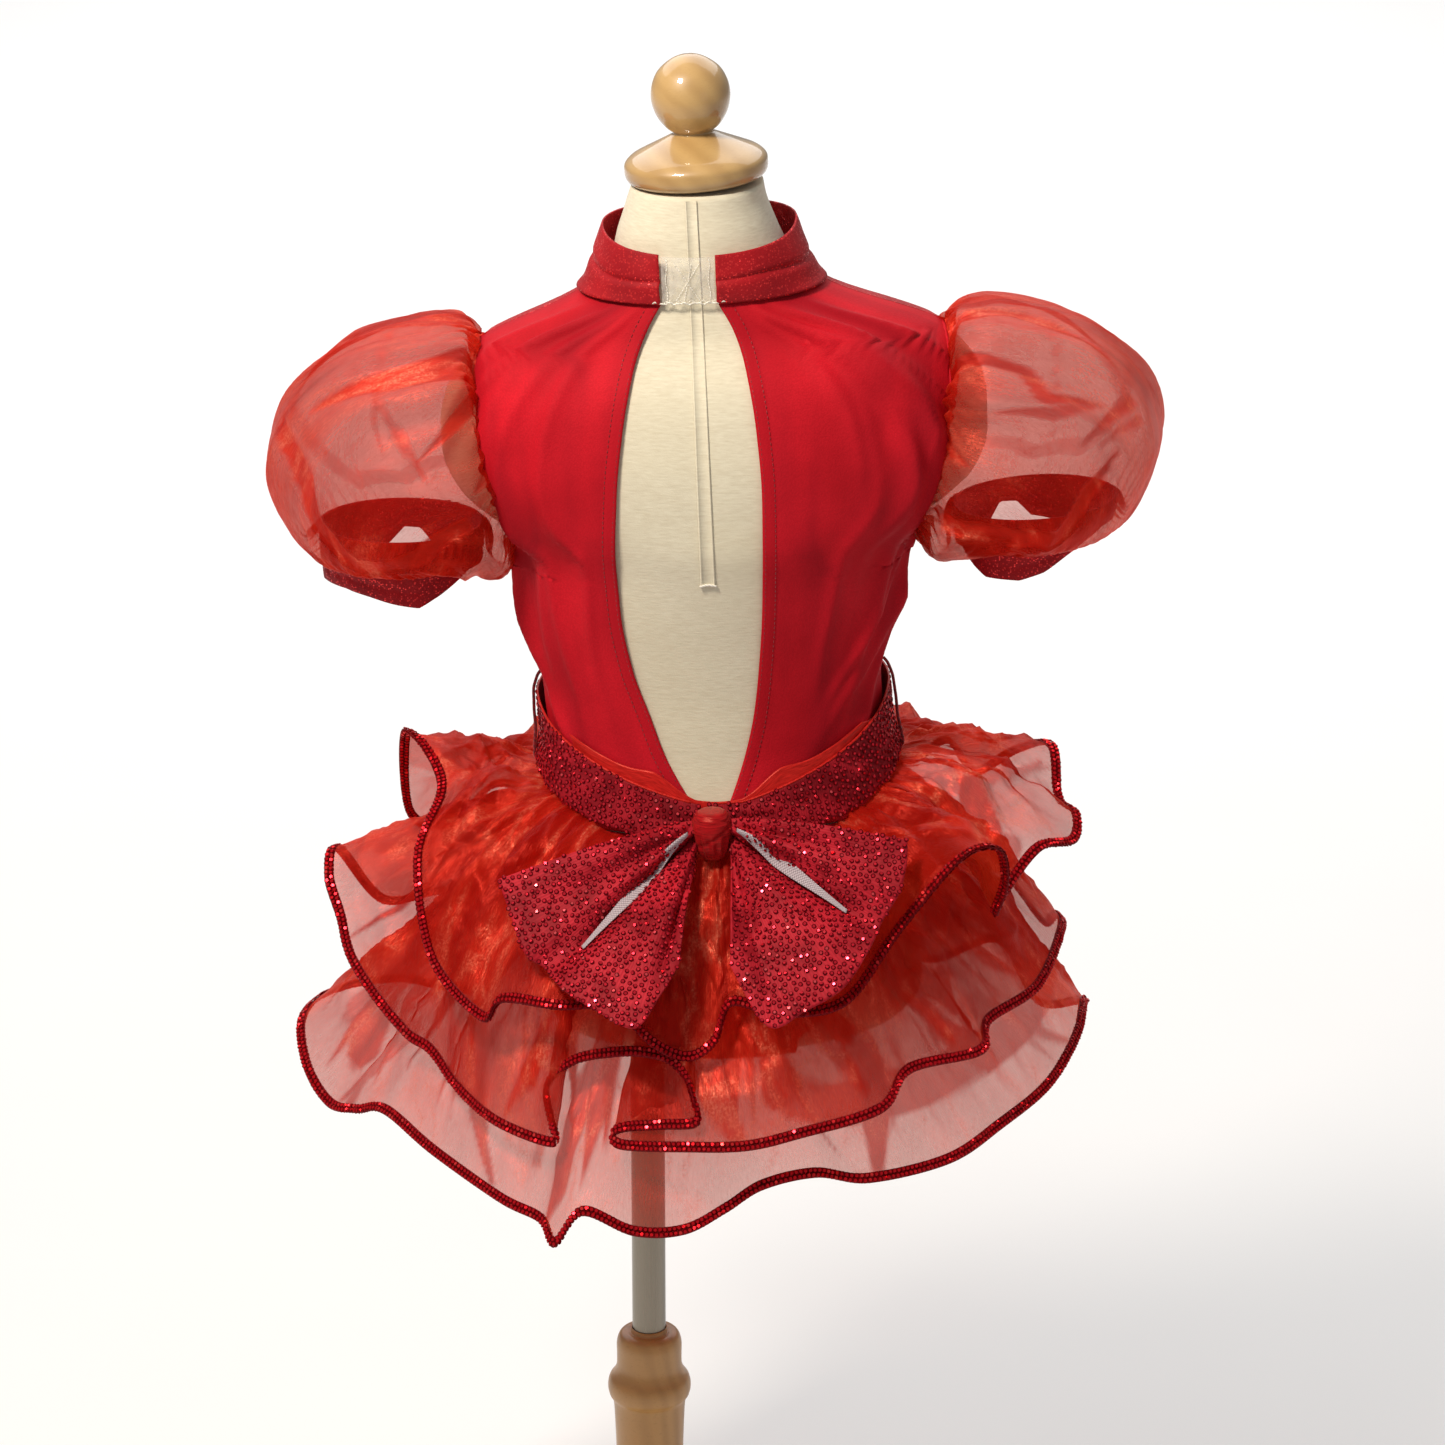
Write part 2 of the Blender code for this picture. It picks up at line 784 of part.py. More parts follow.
COLLAR_COLUMNS = 29
collar_grid = []
for z, half, back, front in COLLAR:
    row = []
    left = math.degrees(math.asin(COLLAR_OPEN[0] / (half * (1 + SQUARE))))
    right = math.degrees(math.asin(COLLAR_OPEN[1] / (half * (1 + SQUARE))))
    for j in range(COLLAR_COLUMNS):
        deg = right + (360 + left - right) * j / (COLLAR_COLUMNS - 1)
        x, y = oval(half, back, front, deg)
        rise = COLLAR_RISE * min(1.0, 1 - math.cos(math.radians(deg)))
        share = (z - COLLAR[0][0]) / (COLLAR[-1][0] - COLLAR[0][0])
        row.append(Vector((x + COLLAR_SHIFT, y, z + rise * share)))
    collar_grid.append(row)
wall("collar", "red_glitter", collar_grid, False, CLOTH, torso)

# Clear tab that closes the collar across the back of the neck

tab_grid = []
for z, off in ((254, 0.0), (262, 0.4), (270, 0.4), (278, 0.0)):
    row = []
    half, back, front = (table_at(COLLAR, z, col) for col in (1, 2, 3))
    left = math.degrees(math.asin((COLLAR_OPEN[0] + SEAM + 0.1) / (half * (1 + SQUARE))))
    right = math.degrees(math.asin((COLLAR_OPEN[1] - SEAM - 0.1) / (half * (1 + SQUARE))))
    for j in range(5):
        x, y = oval(half, back + off, front, left + (right - left) * j / 4)
        row.append(Vector((x + COLLAR_SHIFT, y, z)))
    tab_grid.append(row)
wall("nape_tab", "clear_tab", tab_grid, False, 1.0, torso)

# Puff sleeves: organza gathered into the armhole and again into the cuff

SLEEVE_COLUMNS = 4 * (len(ARM_LEVELS) - 1)


def armhole_ring(side):
    """Sleeve's gathered edge, just outside the armhole seam."""
    heights = list(reversed(ARM_LEVELS)) + ARM_LEVELS[1:]
    ring = []
    for k, z in enumerate(heights):
        deg = panel_limit(z)
        if k >= len(ARM_LEVELS):
            deg = 180 - deg
        p = on_body(z, deg, panel_air(z))
        shift = table_at(BODY, z, 4)
        ring.append(Vector((shift + side * (p.x - shift + SEAM + ORGANZA), p.y, p.z)))
    edge = []
    for a, b in zip(ring, ring[1:]):
        edge += [a, (a + b) / 2]
    return edge


def sleeve_ring(side, index):
    """One ring of the puff: a tilted oval with gathers and creases."""
    out_x, out_z, in_x, in_z, depth, square, hang, ripple = SLEEVE[index]
    mid = Vector(((out_x + in_x) / 2, 0, (out_z + in_z) / 2))
    arm = Vector((out_x - in_x, 0, out_z - in_z)) / 2
    ring = []
    for k in range(SLEEVE_COLUMNS):
        deg = 360 * k / SLEEVE_COLUMNS
        turn = math.radians(deg)
        scale = 1 + ripple / depth * math.cos(SLEEVE_GATHERS * turn)
        for owner, at, first, last, width, crease in SLEEVE_CREASES:
            if owner != side or not first <= index + 0.5 <= last + 1:
                continue
            share = (index + 0.5 - first) / (last + 1 - first)
            gap = (deg - at + 180) % 360 - 180
            scale -= crease / depth * math.sin(math.pi * share) * bell(gap, width)
        c, s = math.cos(turn), math.sin(turn)
        p = mid + arm * c * (1 + square * s * s * abs(c)) * scale
        p.y -= depth * s * (1 + square * c * c) * scale
        p.z -= hang * s * s
        if index < len(SLEEVE) - 1:
            p.x += SLEEVE_TILT[side] * (p.z - 165) * max(c, 0)
        p.x = SHOULDER_SHIFT + side * p.x
        ring.append(p)
    return ring


def sleeve(side, name):
    rings = [armhole_ring(side)] + [sleeve_ring(side, i) for i in range(len(SLEEVE))]
    if side > 0:
        rings.reverse()
    return wall(name, "red_organza", rings, True, ORGANZA, torso)


sleeve(-1, "sleeve_left")
sleeve(1, "sleeve_right")


def cuff(side, name):
    """Glitter band below the puff, its lower edge uneven."""
    columns = 28
    outer, back, inner, front = CUFF_DROP[side]
    grid = []
    for share in (0.0, 0.5, 1.0):
        row = []
        for k in range(columns):
            turn = 2 * math.pi * k / columns
            c, s = math.cos(turn), math.sin(turn)
            low = outer * max(c, 0) ** 2 + inner * max(-c, 0) ** 2
            low += back * max(s, 0) ** 2 + front * max(-s, 0) ** 2
            high = (CUFF_TOP[0] + CUFF_TOP[1]) / 2 + (CUFF_TOP[0] - CUFF_TOP[1]) / 2 * c
            high -= SEAM
            swell = 1 - (1 - share) * (0.06 - 0.03 * math.sin(3 * turn + side))
            row.append(Vector((SHOULDER_SHIFT + side * (CUFF_X + CUFF_HALF[0] * swell * c),
                               -CUFF_HALF[1] * swell * s, low + (high - low) * share)))
        grid.append(row)
    if side > 0:
        grid.reverse()
    return wall(name, "red_glitter", grid, True, CLOTH, torso)


cuff(-1, "cuff_left")
cuff(1, "cuff_right")


# Sash: a sequin band all round the waist, drooping to the knot at the back

def sash_at(deg, col):
    """Sash edge height; the two sides are alike."""
    turned_deg = (deg + 180) % 360 - 180
    return table_at(SASH, -abs(turned_deg), col)


def band(name, kind, first, last, columns, low, high, off, thick):
    """A strip lying on the body between two angles."""
    grid = []
    for share in (0.0, 0.5, 1.0):
        row = []
        for j in range(columns):
            deg = first + (last - first) * j / (columns - 1)
            z = low(deg) + (high(deg) - low(deg)) * share
            row.append(on_body(z, deg, off))
        grid.append(row)
    return wall(name, kind, grid, False, thick, torso)


PANEL_OUT = CLEAR + CLOTH + SEAM
band("sash", "red_sequin", -3, 354, 38, lambda d: sash_at(d, 1), lambda d: sash_at(d, 2),
     PANEL_OUT + SASH_OFF, CLOTH)

# Satin lining of the sash where it stands above the back edges

for lining_side, lining_name in ((-1, "sash_lining_left"), (1, "sash_lining_right")):
    ends = (10, 62) if lining_side > 0 else (-62, -10)
    band(lining_name, "red_satin", ends[0], ends[1], 11, lambda d: sash_at(d, 2) - 12,
         lambda d: sash_at(d, 2) + LINING_SHOW * math.sin(math.radians((abs(d) - 10) * 180 / 52))
         ** 0.5 if 10.01 < abs(d) < 61.99 else sash_at(d, 2) + 0.5, PANEL_OUT + 1.7, 1.0)

# Cord loops that carry the sash at the side seams

for loop_side, loop_name in ((-1, "belt_loop_left"), (1, "belt_loop_right")):
    loop_path = []
    for z, off in ((17, 3.9), (14, 6.5), (6, 9.4), (-8, 10.4), (-20, 10.2), (-30, 9.6),
                   (-37, 8.6), (-40.3, 6), (-41, 3.9)):
        skin = body(z, loop_side * 90)
        loop_path.append(Vector((skin.x + loop_side * off, skin.y, z)))
    cord(loop_name, "red_mesh", loop_path, 0.9, 6, torso)

# Bow: two sequin halves gathered at a knot

for bow_side, bow_name, ends in ((-1, "bow_left", BOW_LEFT), (1, "bow_right", BOW_RIGHT)):
    root_x, root_y, root_high, root_low = BOW_ROOT[bow_side]
    bow_grid = []
    for share in (0.0, 0.14, 0.32, 0.55, 0.8, 1.0):
        row = []
        for j, end in enumerate(ends):
            t = j / (len(ends) - 1)
            root = Vector((root_x, root_y + 3 * math.cos(4 * math.pi * t),
                           root_high + (root_low - root_high) * t))
            p = root.lerp(Vector(end), share)
            puff = math.sin(math.pi * share) * 7
            pleat = bell(t - 0.42, 0.09) * math.sin(math.pi * share) * 9
            p += Vector((0, -0.8, 0.6)) * (puff - pleat)
            row.append(p)
        bow_grid.append(row)
    if bow_side > 0:
        bow_grid.reverse()
    wall(bow_name, "red_sequin", bow_grid, False, 1.5, torso)

knot_rings = []
for share in (0.0, 0.25, 0.5, 0.75, 1.0):
    lat = math.pi * (0.14 + 0.72 * share)
    for_ring = []
    for k in range(20):
        turn = 2 * math.pi * k / 20
        bump = 1 + 0.05 * math.cos(5 * turn)
        for_ring.append(Vector((
            KNOT[0] + KNOT_HALF[0] * math.sin(lat) * math.cos(turn) * bump,
            KNOT[1] + KNOT_HALF[1] * math.sin(lat) * math.sin(turn) * bump,
            KNOT[2] - KNOT_HALF[2] * math.cos(lat))))
    knot_rings.append(for_ring)
knot_points = [p for ring in knot_rings for p in ring]
knot_points += [Vector((KNOT[0], KNOT[1], KNOT[2] + KNOT_HALF[2] * s * 0.93)) for s in (-1, 1)]
knot_faces = []
for k in range(20):
    m = (k + 1) % 20
    for i in range(4):
        knot_faces.append((i * 20 + k, i * 20 + m, (i + 1) * 20 + m, (i + 1) * 20 + k))
    knot_faces.append((len(knot_points) - 2, m, k))
    knot_faces.append((len(knot_points) - 1, 80 + k, 80 + m))
node("bow_knot", "red_sequin", knot_points, knot_faces, torso)


# Skirt: three organza ruffles gathered to the waist, each hem a closed waving line

TIER_ROWS = 5


def hem_line(rows, columns):
    """Even points along a smooth closed line through the hem rows, with root angles."""
    pts = [Vector((r * math.sin(math.radians(d)), -r * math.cos(math.radians(d)), z))
           for d, r, z in rows]
    roots = sorted((d if d < 358 else d - 360) for d, _, _ in rows)
    count = len(pts)
    fine, fine_root = [], []
    for i in range(count):
        p0, p1, p2, p3 = (pts[(i + k) % count] for k in (-1, 0, 1, 2))
        r1, r2 = roots[i], roots[(i + 1) % count] + (360 if i == count - 1 else 0)
        for k in range(12):
            t = k / 12
            fine.append(0.5 * ((2 * p1) + (p2 - p0) * t + (2 * p0 - 5 * p1 + 4 * p2 - p3) * t * t
                               + (3 * p1 - p0 - 3 * p2 + p3) * t ** 3))
            fine_root.append(r1 + (r2 - r1) * t)
    steps = [(fine[(i + 1) % len(fine)] - p).length for i, p in enumerate(fine)]
    total = sum(steps)
    out, at, done = [], 0, 0.0
    for j in range(columns):
        goal = total * j / columns
        while done + steps[at] < goal:
            done += steps[at]
            at += 1
        t = (goal - done) / steps[at]
        after = fine_root[(at + 1) % len(fine)] + (360 if at == len(fine) - 1 else 0)
        out.append((fine[at].lerp(fine[(at + 1) % len(fine)], t),
                    fine_root[at] + (after - fine_root[at]) * t))
    return out


def tier(name, index, hem, columns, gathers):
    side_z, back_z, off, power, lift, sag = TIER_SEAM[index]
    grid = [[] for _ in range(TIER_ROWS)]
    for end, root in hem_line(hem, columns):
        back = max(0.0, math.cos(math.radians(root))) ** 2
        seam_z = side_z + (back_z - side_z) * back
        start = on_body(seam_z, root, off)
        for i in range(TIER_ROWS):
            v = i / (TIER_ROWS - 1)
            p = start.lerp(end, v ** 0.85)
            p.z = start.z + (end.z - start.z) * v ** power
            p.z += (lift * (1 - back) - sag * back) * math.sin(math.pi * v)
            p.z += 2.2 * math.sin(math.pi * min(1, v * 1.3)) * math.cos(math.radians(root) * gathers)
            grid[i].append(p)
    grid.reverse()
    return wall(name, "red_organza", grid, True, ORGANZA, torso)


tier("skirt_tier_top", 0, HEM_TOP, 80, 19)
tier("skirt_tier_middle", 1, HEM_MIDDLE, 78, 18)
tier("skirt_tier_low", 2, HEM_LOW, 74, 17)
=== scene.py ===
import math

import bpy
import numpy as np
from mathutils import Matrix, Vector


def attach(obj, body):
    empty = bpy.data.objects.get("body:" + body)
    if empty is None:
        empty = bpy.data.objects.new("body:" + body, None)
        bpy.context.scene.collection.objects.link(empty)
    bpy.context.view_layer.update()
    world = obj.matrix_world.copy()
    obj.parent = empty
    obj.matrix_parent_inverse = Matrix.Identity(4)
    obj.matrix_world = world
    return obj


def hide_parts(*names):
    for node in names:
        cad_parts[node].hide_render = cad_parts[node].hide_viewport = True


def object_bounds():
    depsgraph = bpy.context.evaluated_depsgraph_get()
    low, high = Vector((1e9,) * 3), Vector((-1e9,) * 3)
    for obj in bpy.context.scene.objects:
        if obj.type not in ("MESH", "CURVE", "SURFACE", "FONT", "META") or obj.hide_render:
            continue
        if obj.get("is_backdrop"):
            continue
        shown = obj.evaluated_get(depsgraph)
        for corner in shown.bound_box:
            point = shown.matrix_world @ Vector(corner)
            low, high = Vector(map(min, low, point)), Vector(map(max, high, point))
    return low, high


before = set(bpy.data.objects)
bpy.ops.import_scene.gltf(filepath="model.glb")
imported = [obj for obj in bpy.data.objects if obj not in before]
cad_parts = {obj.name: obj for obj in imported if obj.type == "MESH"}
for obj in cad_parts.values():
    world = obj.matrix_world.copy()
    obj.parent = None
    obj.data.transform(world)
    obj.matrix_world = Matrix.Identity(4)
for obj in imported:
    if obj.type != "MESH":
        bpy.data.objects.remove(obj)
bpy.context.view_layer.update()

MM = 0.001


# Studio: a pale floor, a small soft lamp high on the left, a weak one on the right, a broad
# one over the far floor, and white air. The camera stands behind the costume, above its shoulders.

def linear(code):
    """sRGB hex colour as linear red, green, blue and one."""
    parts = [int(code[i:i + 2], 16) / 255 for i in (1, 3, 5)]
    return (*[c / 12.92 if c <= 0.04045 else ((c + 0.055) / 1.055) ** 2.4 for c in parts], 1.0)


def put(tree, kind, inputs=None, **settings):
    """Adds a node with its settings; a socket gets a value, or the output that feeds it."""
    node = tree.nodes.new(kind)
    for key, value in settings.items():
        setattr(node, key, value)
    for key, value in (inputs or {}).items():
        if isinstance(value, bpy.types.NodeSocket):
            tree.links.new(value, node.inputs[key])
        else:
            node.inputs[key].default_value = value
    return node


def finish_of(name):
    """An empty material and its node tree."""
    mat = bpy.data.materials.new(name)
    mat.use_nodes = True
    mat.node_tree.nodes.clear()
    return mat, mat.node_tree


def blend_of(tree, low, high, factor, kind="RGBA"):
    """Two values, or two colours given as sockets or hex codes, mixed by a factor."""
    low, high = (linear(x) if isinstance(x, str) else x for x in (low, high))
    mix = put(tree, "ShaderNodeMix", data_type=kind, blend_type="MIX")
    first = 6 if kind == "RGBA" else 2
    for at, value in ((0, factor), (first, low), (first + 1, high)):
        if isinstance(value, bpy.types.NodeSocket):
            tree.links.new(value, mix.inputs[at])
        else:
            mix.inputs[at].default_value = value
    return mix.outputs[2 if kind == "RGBA" else 0]


def ranged(tree, value, low, high, to_low=0.0, to_high=1.0):
    """A value stretched from one range to another."""
    return put(tree, "ShaderNodeMapRange", {
        "Value": value, "From Min": low, "From Max": high,
        "To Min": to_low, "To Max": to_high}).outputs["Result"]


def object_place(tree):
    return put(tree, "ShaderNodeTexCoord").outputs["Object"]


def noise(tree, where, scale, detail=2.0, stretch=None, **more):
    """A noise texture's value; a stretch gives each axis a scale of its own."""
    if stretch:
        where = put(tree, "ShaderNodeMapping", {"Vector": where, "Scale": stretch}).outputs[0]
    return put(tree, "ShaderNodeTexNoise", {"Vector": where, "Scale": scale, "Detail": detail,
                                            **more}).outputs["Fac"]


def surface(tree, inputs):
    """A principled shader with these inputs as the material's surface."""
    shader = put(tree, "ShaderNodeBsdfPrincipled", inputs)
    put(tree, "ShaderNodeOutputMaterial", {"Surface": shader.outputs[0]})


floor_mat, tree = finish_of("pale_floor_paint")
floor_colour = blend_of(tree, "#F7F6F5", "#FBFAF9", noise(tree, object_place(tree), 3.0))
surface(tree, {"Base Color": floor_colour, "Roughness": 0.9,
                                                "Specular IOR Level": 0.1})

floor_mesh = bpy.data.meshes.new("floor")
floor_mesh.from_pydata([(-20, -20, 0), (20, -20, 0), (20, 20, 0), (-20, 20, 0)], [], [(0, 1, 2, 3)])
floor_mesh.materials.append(floor_mat)
floor = bpy.data.objects.new("floor", floor_mesh)
bpy.context.scene.collection.objects.link(floor)
floor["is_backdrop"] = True

world = bpy.data.worlds.new("white_air")
world.use_nodes = True
world.node_tree.nodes["Background"].inputs["Color"].default_value = (1.0, 0.99, 0.98, 1.0)
world.node_tree.nodes["Background"].inputs["Strength"].default_value = 0.27
bpy.context.scene.world = world
bpy.context.scene.view_settings.view_transform = "Standard"


def lamp(name, place, aim, size, watts, colour):
    """A soft lamp of a width and length, turned to a point."""
    data = bpy.data.lights.new(name, "AREA")
    data.shape, data.energy = "RECTANGLE", watts
    data.size, data.size_y = size
    data.color = linear(colour)[:3]
    obj = bpy.data.objects.new(name, data)
    obj.location = place
    way = Vector(aim) - Vector(place)
    obj.rotation_euler = way.to_track_quat("-Z", "Y").to_euler()
    bpy.context.scene.collection.objects.link(obj)


lamp("key_lamp", (-0.56, -0.72, 1.96), (0, 0, 0.8), (0.3, 0.3), 23, "#FFF4E6")
lamp("fill_lamp", (1.7, -2.0, 1.2), (0, 0, 0.75), (1.0, 1.0), 1.0, "#FFF6EE")
lamp("floor_lamp", (0, 4.2, 3.0), (0, 4.2001, 0), (6.0, 7.2), 205, "#FFFFFF")

camera = bpy.data.objects.new("camera", bpy.data.cameras.new("camera"))
camera.data.lens, camera.data.sensor_width = 116.0, 36.0
camera.location = (0.0462, -2.62, 1.657)
camera.rotation_euler = (math.radians(69.8), 0, 0)
bpy.context.scene.collection.objects.link(camera)
bpy.context.scene.camera = camera


# Stand: a turned wooden column on a round base with a steel tube sliding in it. The tube is
# polished; the wood is beech with a satin lacquer that shows a fine straight grain.

def piece_of(name, points, faces, finish, uvs=None):
    """A mesh from points in metres that rides on the one body."""
    mesh = bpy.data.meshes.new(name)
    mesh.from_pydata([tuple(p) for p in points], [], faces)
    if uvs is not None:
        layer = mesh.uv_layers.new(name="UVMap")
        layer.data.foreach_set("uv", np.array(uvs, np.float32).ravel())
    mesh.materials.append(finish)
    mesh.polygons.foreach_set("use_smooth", [True] * len(mesh.polygons))
    mesh.update()
    obj = bpy.data.objects.new(name, mesh)
    bpy.context.scene.collection.objects.link(obj)
    return obj


def curve_at(points, i, t, closed=False):
    """The point a share t past corner i, on the smooth curve through a line's corners."""
    count = len(points)
    p0, p1, p2, p3 = (points[(i + k) % count if closed else min(max(i + k, 0), count - 1)]
                      for k in (-1, 0, 1, 2))
    return 0.5 * (2 * p1 + (p2 - p0) * t + (2 * p0 - 5 * p1 + 4 * p2 - p3) * t * t
                  + (3 * p1 - p0 - 3 * p2 + p3) * t ** 3)


def turned(name, profile, sides, finish, place=lambda p: p):
    """A lathed form from (radius, height) pairs in millimetres that start and end on the axis."""
    fine = []
    rows = np.array(profile, float)
    for i in range(len(rows) - 1):
        for t in (0.0, 0.25, 0.5, 0.75):
            inner = 0 < i < len(rows) - 2
            fine.append(curve_at(rows, i, t) if inner else rows[i] + (rows[i + 1] - rows[i]) * t)
    fine = [p for p in fine[1:] if p[0] > 0.01]
    points = [(0.0, 0.0, rows[0][1])]
    for r, z in fine:
        for k in range(sides):
            a = 2 * math.pi * k / sides
            points.append((r * math.cos(a), r * math.sin(a), z))
    points.append((0.0, 0.0, rows[-1][1]))
    faces = []
    for k in range(sides):
        m = (k + 1) % sides
        faces.append((0, 1 + m, 1 + k))
        for i in range(len(fine) - 1):
            a = 1 + i * sides
            faces.append((a + k, a + m, a + sides + m, a + sides + k))
        a = 1 + (len(fine) - 1) * sides
        faces.append((a + k, a + m, len(points) - 1))
    return piece_of(name, place(np.array(points) * MM), faces, finish)


def bumped(tree, height, strength, distance):
    """Normals tilted by a height."""
    return put(tree, "ShaderNodeBump", {"Height": height, "Strength": strength,
                                        "Distance": distance}).outputs[0]


def lacquered_wood(name, light, dark, grain_mm, stretch, gloss, rough):
    """Turned wood under clear lacquer: soft growth bands, fine pores and a sharp top gloss."""
    mat, tree = finish_of(name)
    where = object_place(tree)
    laid = put(tree, "ShaderNodeMapping", {"Vector": where, "Scale": stretch}).outputs[0]
    # A wave texture repeats every 0.314 of its scaled length
    bands = put(tree, "ShaderNodeTexWave", {
        "Vector": laid, "Scale": 0.314 / (grain_mm * MM), "Distortion": 2.2, "Detail": 3.0,
        "Detail Scale": 1.2}, bands_direction="DIAGONAL")
    flame = noise(tree, laid, 26.0, 4.0)
    mixed = blend_of(tree, bands.outputs["Fac"], flame, 0.72, "FLOAT")
    colour = blend_of(tree, light, dark, ranged(tree, mixed, 0.35, 0.8, 0, 0.6))
    pores = noise(tree, laid, 420.0, 2.0, (1, 1, 9))
    colour = blend_of(tree, colour, dark, ranged(tree, pores, 0.56, 0.8, 0, 0.35))
    bump = bumped(tree, pores, 0.05, 0.0003)
    surface(tree, {
        "Base Color": colour, "Roughness": rough, "Coat Weight": gloss, "Coat Roughness": 0.05,
        "Normal": bump})
    return mat


beech = lacquered_wood("satin_lacquered_beech", "#B98C52", "#93693A", 7.0, (1, 1, 0.2), 0.25, 0.45)

base_piece = turned("base_disc", [
    (0, 0), (140, 0), (146, 0.3), (149.6, 4), (150, 8), (149.4, 12), (142, 18), (110, 21.6),
    (70, 24), (36, 24.9), (0, 25)], 96, beech)
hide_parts("stand_base")
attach(base_piece, "root")

column_piece = turned("column_turning", [
    (0, 25.3), (29, 25.3), (30, 26), (31, 30), (28, 37), (24, 44), (21.8, 58), (21.2, 70),
    (20.6, 120), (21, 190), (22, 225), (23, 238), (25.2, 242), (26.2, 247.5), (25.2, 253),
    (22.5, 257), (20.6, 262), (20.4, 270), (20.4, 278), (18.5, 283.5), (15, 285), (11.6, 284.4),
    (10.8, 282), (10.8, 200), (10.8, 139.8), (0, 139.7)], 64, beech)
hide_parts("stand_column")
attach(column_piece, "root")

steel, tree = finish_of("polished_steel_tube")
where = object_place(tree)
# Drawn tube keeps long fine lines along its length
lines = noise(tree, where, 1.0, 3.0, (900, 900, 6))
rough = ranged(tree, lines, 0.3, 0.7, 0.22, 0.38)
colour = blend_of(tree, "#7E776C", "#948D81", lines)
surface(tree, {"Base Color": colour, "Roughness": rough,
                                                "Metallic": 1.0})
tube_piece = turned("pole_tube", [(0, 140), (9.9, 140), (10.5, 140.6), (10.5, 300), (10.5, 604.4),
                                  (9.9, 605), (0, 605)], 64, steel)
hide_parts("stand_pole")
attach(tube_piece, "root")


# Form: a padded body on the tube, its cover of cream cotton jersey pulled tight and closed at
# the centre back by a narrow tape from the neck to below the shoulder blades.

WAIST = (44.7, 713.8)           # x and height of the waist's middle, millimetres
LEAN = math.radians(-2.2)       # the torso leans to the left
SQUARE = 0.07                   # how much squarer than an ellipse a section is

BODY = np.array([
    # z, half, back, front, shift
    (-190, 116, 92, 93, 0), (-165, 117, 95, 95, 0), (-135, 117, 96, 95, 0),
    (-100, 114, 93, 92, 0), (-68, 110, 86, 88, -1), (-40, 103, 77, 82, -2),
    (-15, 98, 72, 77, -3), (10, 98, 71, 76, -4), (40, 102, 73, 78, -4),
    (70, 108, 77, 81, -2), (95, 112, 81, 84, 1), (105, 115, 83, 85, 2),
    (114, 124, 84, 84, 2), (124, 139, 84, 83, 2), (138, 153, 84, 82, 3),
    (158, 160, 83, 80, 3), (176, 160, 80, 76, 3), (192, 157, 76, 71, 4),
    (206, 149, 70, 64, 4), (216, 140, 63, 57, 4), (224, 129, 57, 52, 3.5),
    (231.5, 111, 53, 49, 2.5), (239.5, 89, 51, 47, 1), (248, 71, 49, 46, 0),
    (259, 57, 47, 44, -1), (272, 51, 45, 43, -1), (286, 46, 43, 42, -2),
    (300, 41, 40, 40, -2), (311, 38, 38, 38, -1),
], float)
HIP_Z, NECK_Z, BOTTOM_DROP = -190.0, 311.0, 23.0


def column(rows, key, col):
    """Smooth value of a table's column, never past its neighbours."""
    x, y = rows[:, 0], rows[:, col]
    key = np.clip(np.asarray(key, float), x[0], x[-1])
    slope = np.diff(y) / np.diff(x)
    a, b = slope[:-1], slope[1:]
    total = np.where(a * b > 0, a + b, 1.0)
    inner = np.where(a * b > 0, 2 * a * b / total, 0.0)
    tangent = np.concatenate([slope[:1], inner, slope[-1:]])
    i = np.clip(np.searchsorted(x, key, side="right") - 1, 0, len(x) - 2)
    h = np.diff(x)[i]
    t = (key - x[i]) / h
    return ((2 * t ** 3 - 3 * t ** 2 + 1) * y[i] + (t ** 3 - 2 * t ** 2 + t) * h * tangent[i]
            + (3 * t ** 2 - 2 * t ** 3) * y[i + 1] + (t ** 3 - t ** 2) * h * tangent[i + 1])


def oval(half, back, front, deg):
    """Points of a squarish oval; 0 is the centre back and 90 the right side."""
    s, c = np.sin(np.radians(deg)), np.cos(np.radians(deg))
    depth = np.where(c > 0, back, front)
    return half * s * (1 + SQUARE * c * c), -depth * c * (1 + SQUARE * s * s)


def body(z, deg):
    """Points on the form's skin, in the torso's axes and millimetres."""
    z, deg = np.broadcast_arrays(np.asarray(z, float), np.asarray(deg, float))
    x, y = oval(column(BODY, z, 1), column(BODY, z, 2), column(BODY, z, 3), deg)
    return np.stack([x + column(BODY, z, 4), y, z], -1)


def unit(v):
    return v / np.maximum(np.linalg.norm(v, axis=-1, keepdims=True), 1e-9)


def body_normal(z, deg):
    across = body(z, np.add(deg, 1.5)) - body(z, np.subtract(deg, 1.5))
    up = body(np.add(z, 1.5), deg) - body(np.subtract(z, 1.5), deg)
    return unit(np.cross(across, up))


def on_body(z, deg, off):
    """Points lying off the form's skin by a distance."""
    return body(z, deg) + body_normal(z, deg) * np.asarray(off)[..., None]


def to_room(points):
    """From the torso's leaning axes in millimetres to the room in metres."""
    p = np.asarray(points, float)
    c, s = math.cos(LEAN), math.sin(LEAN)
    return np.stack([p[..., 0] * c + p[..., 2] * s + WAIST[0], p[..., 1],
                     -p[..., 0] * s + p[..., 2] * c + WAIST[1]], -1) * MM


UV_UNIT = 2000.0                # millimetres of cloth across the whole of a piece's UV map


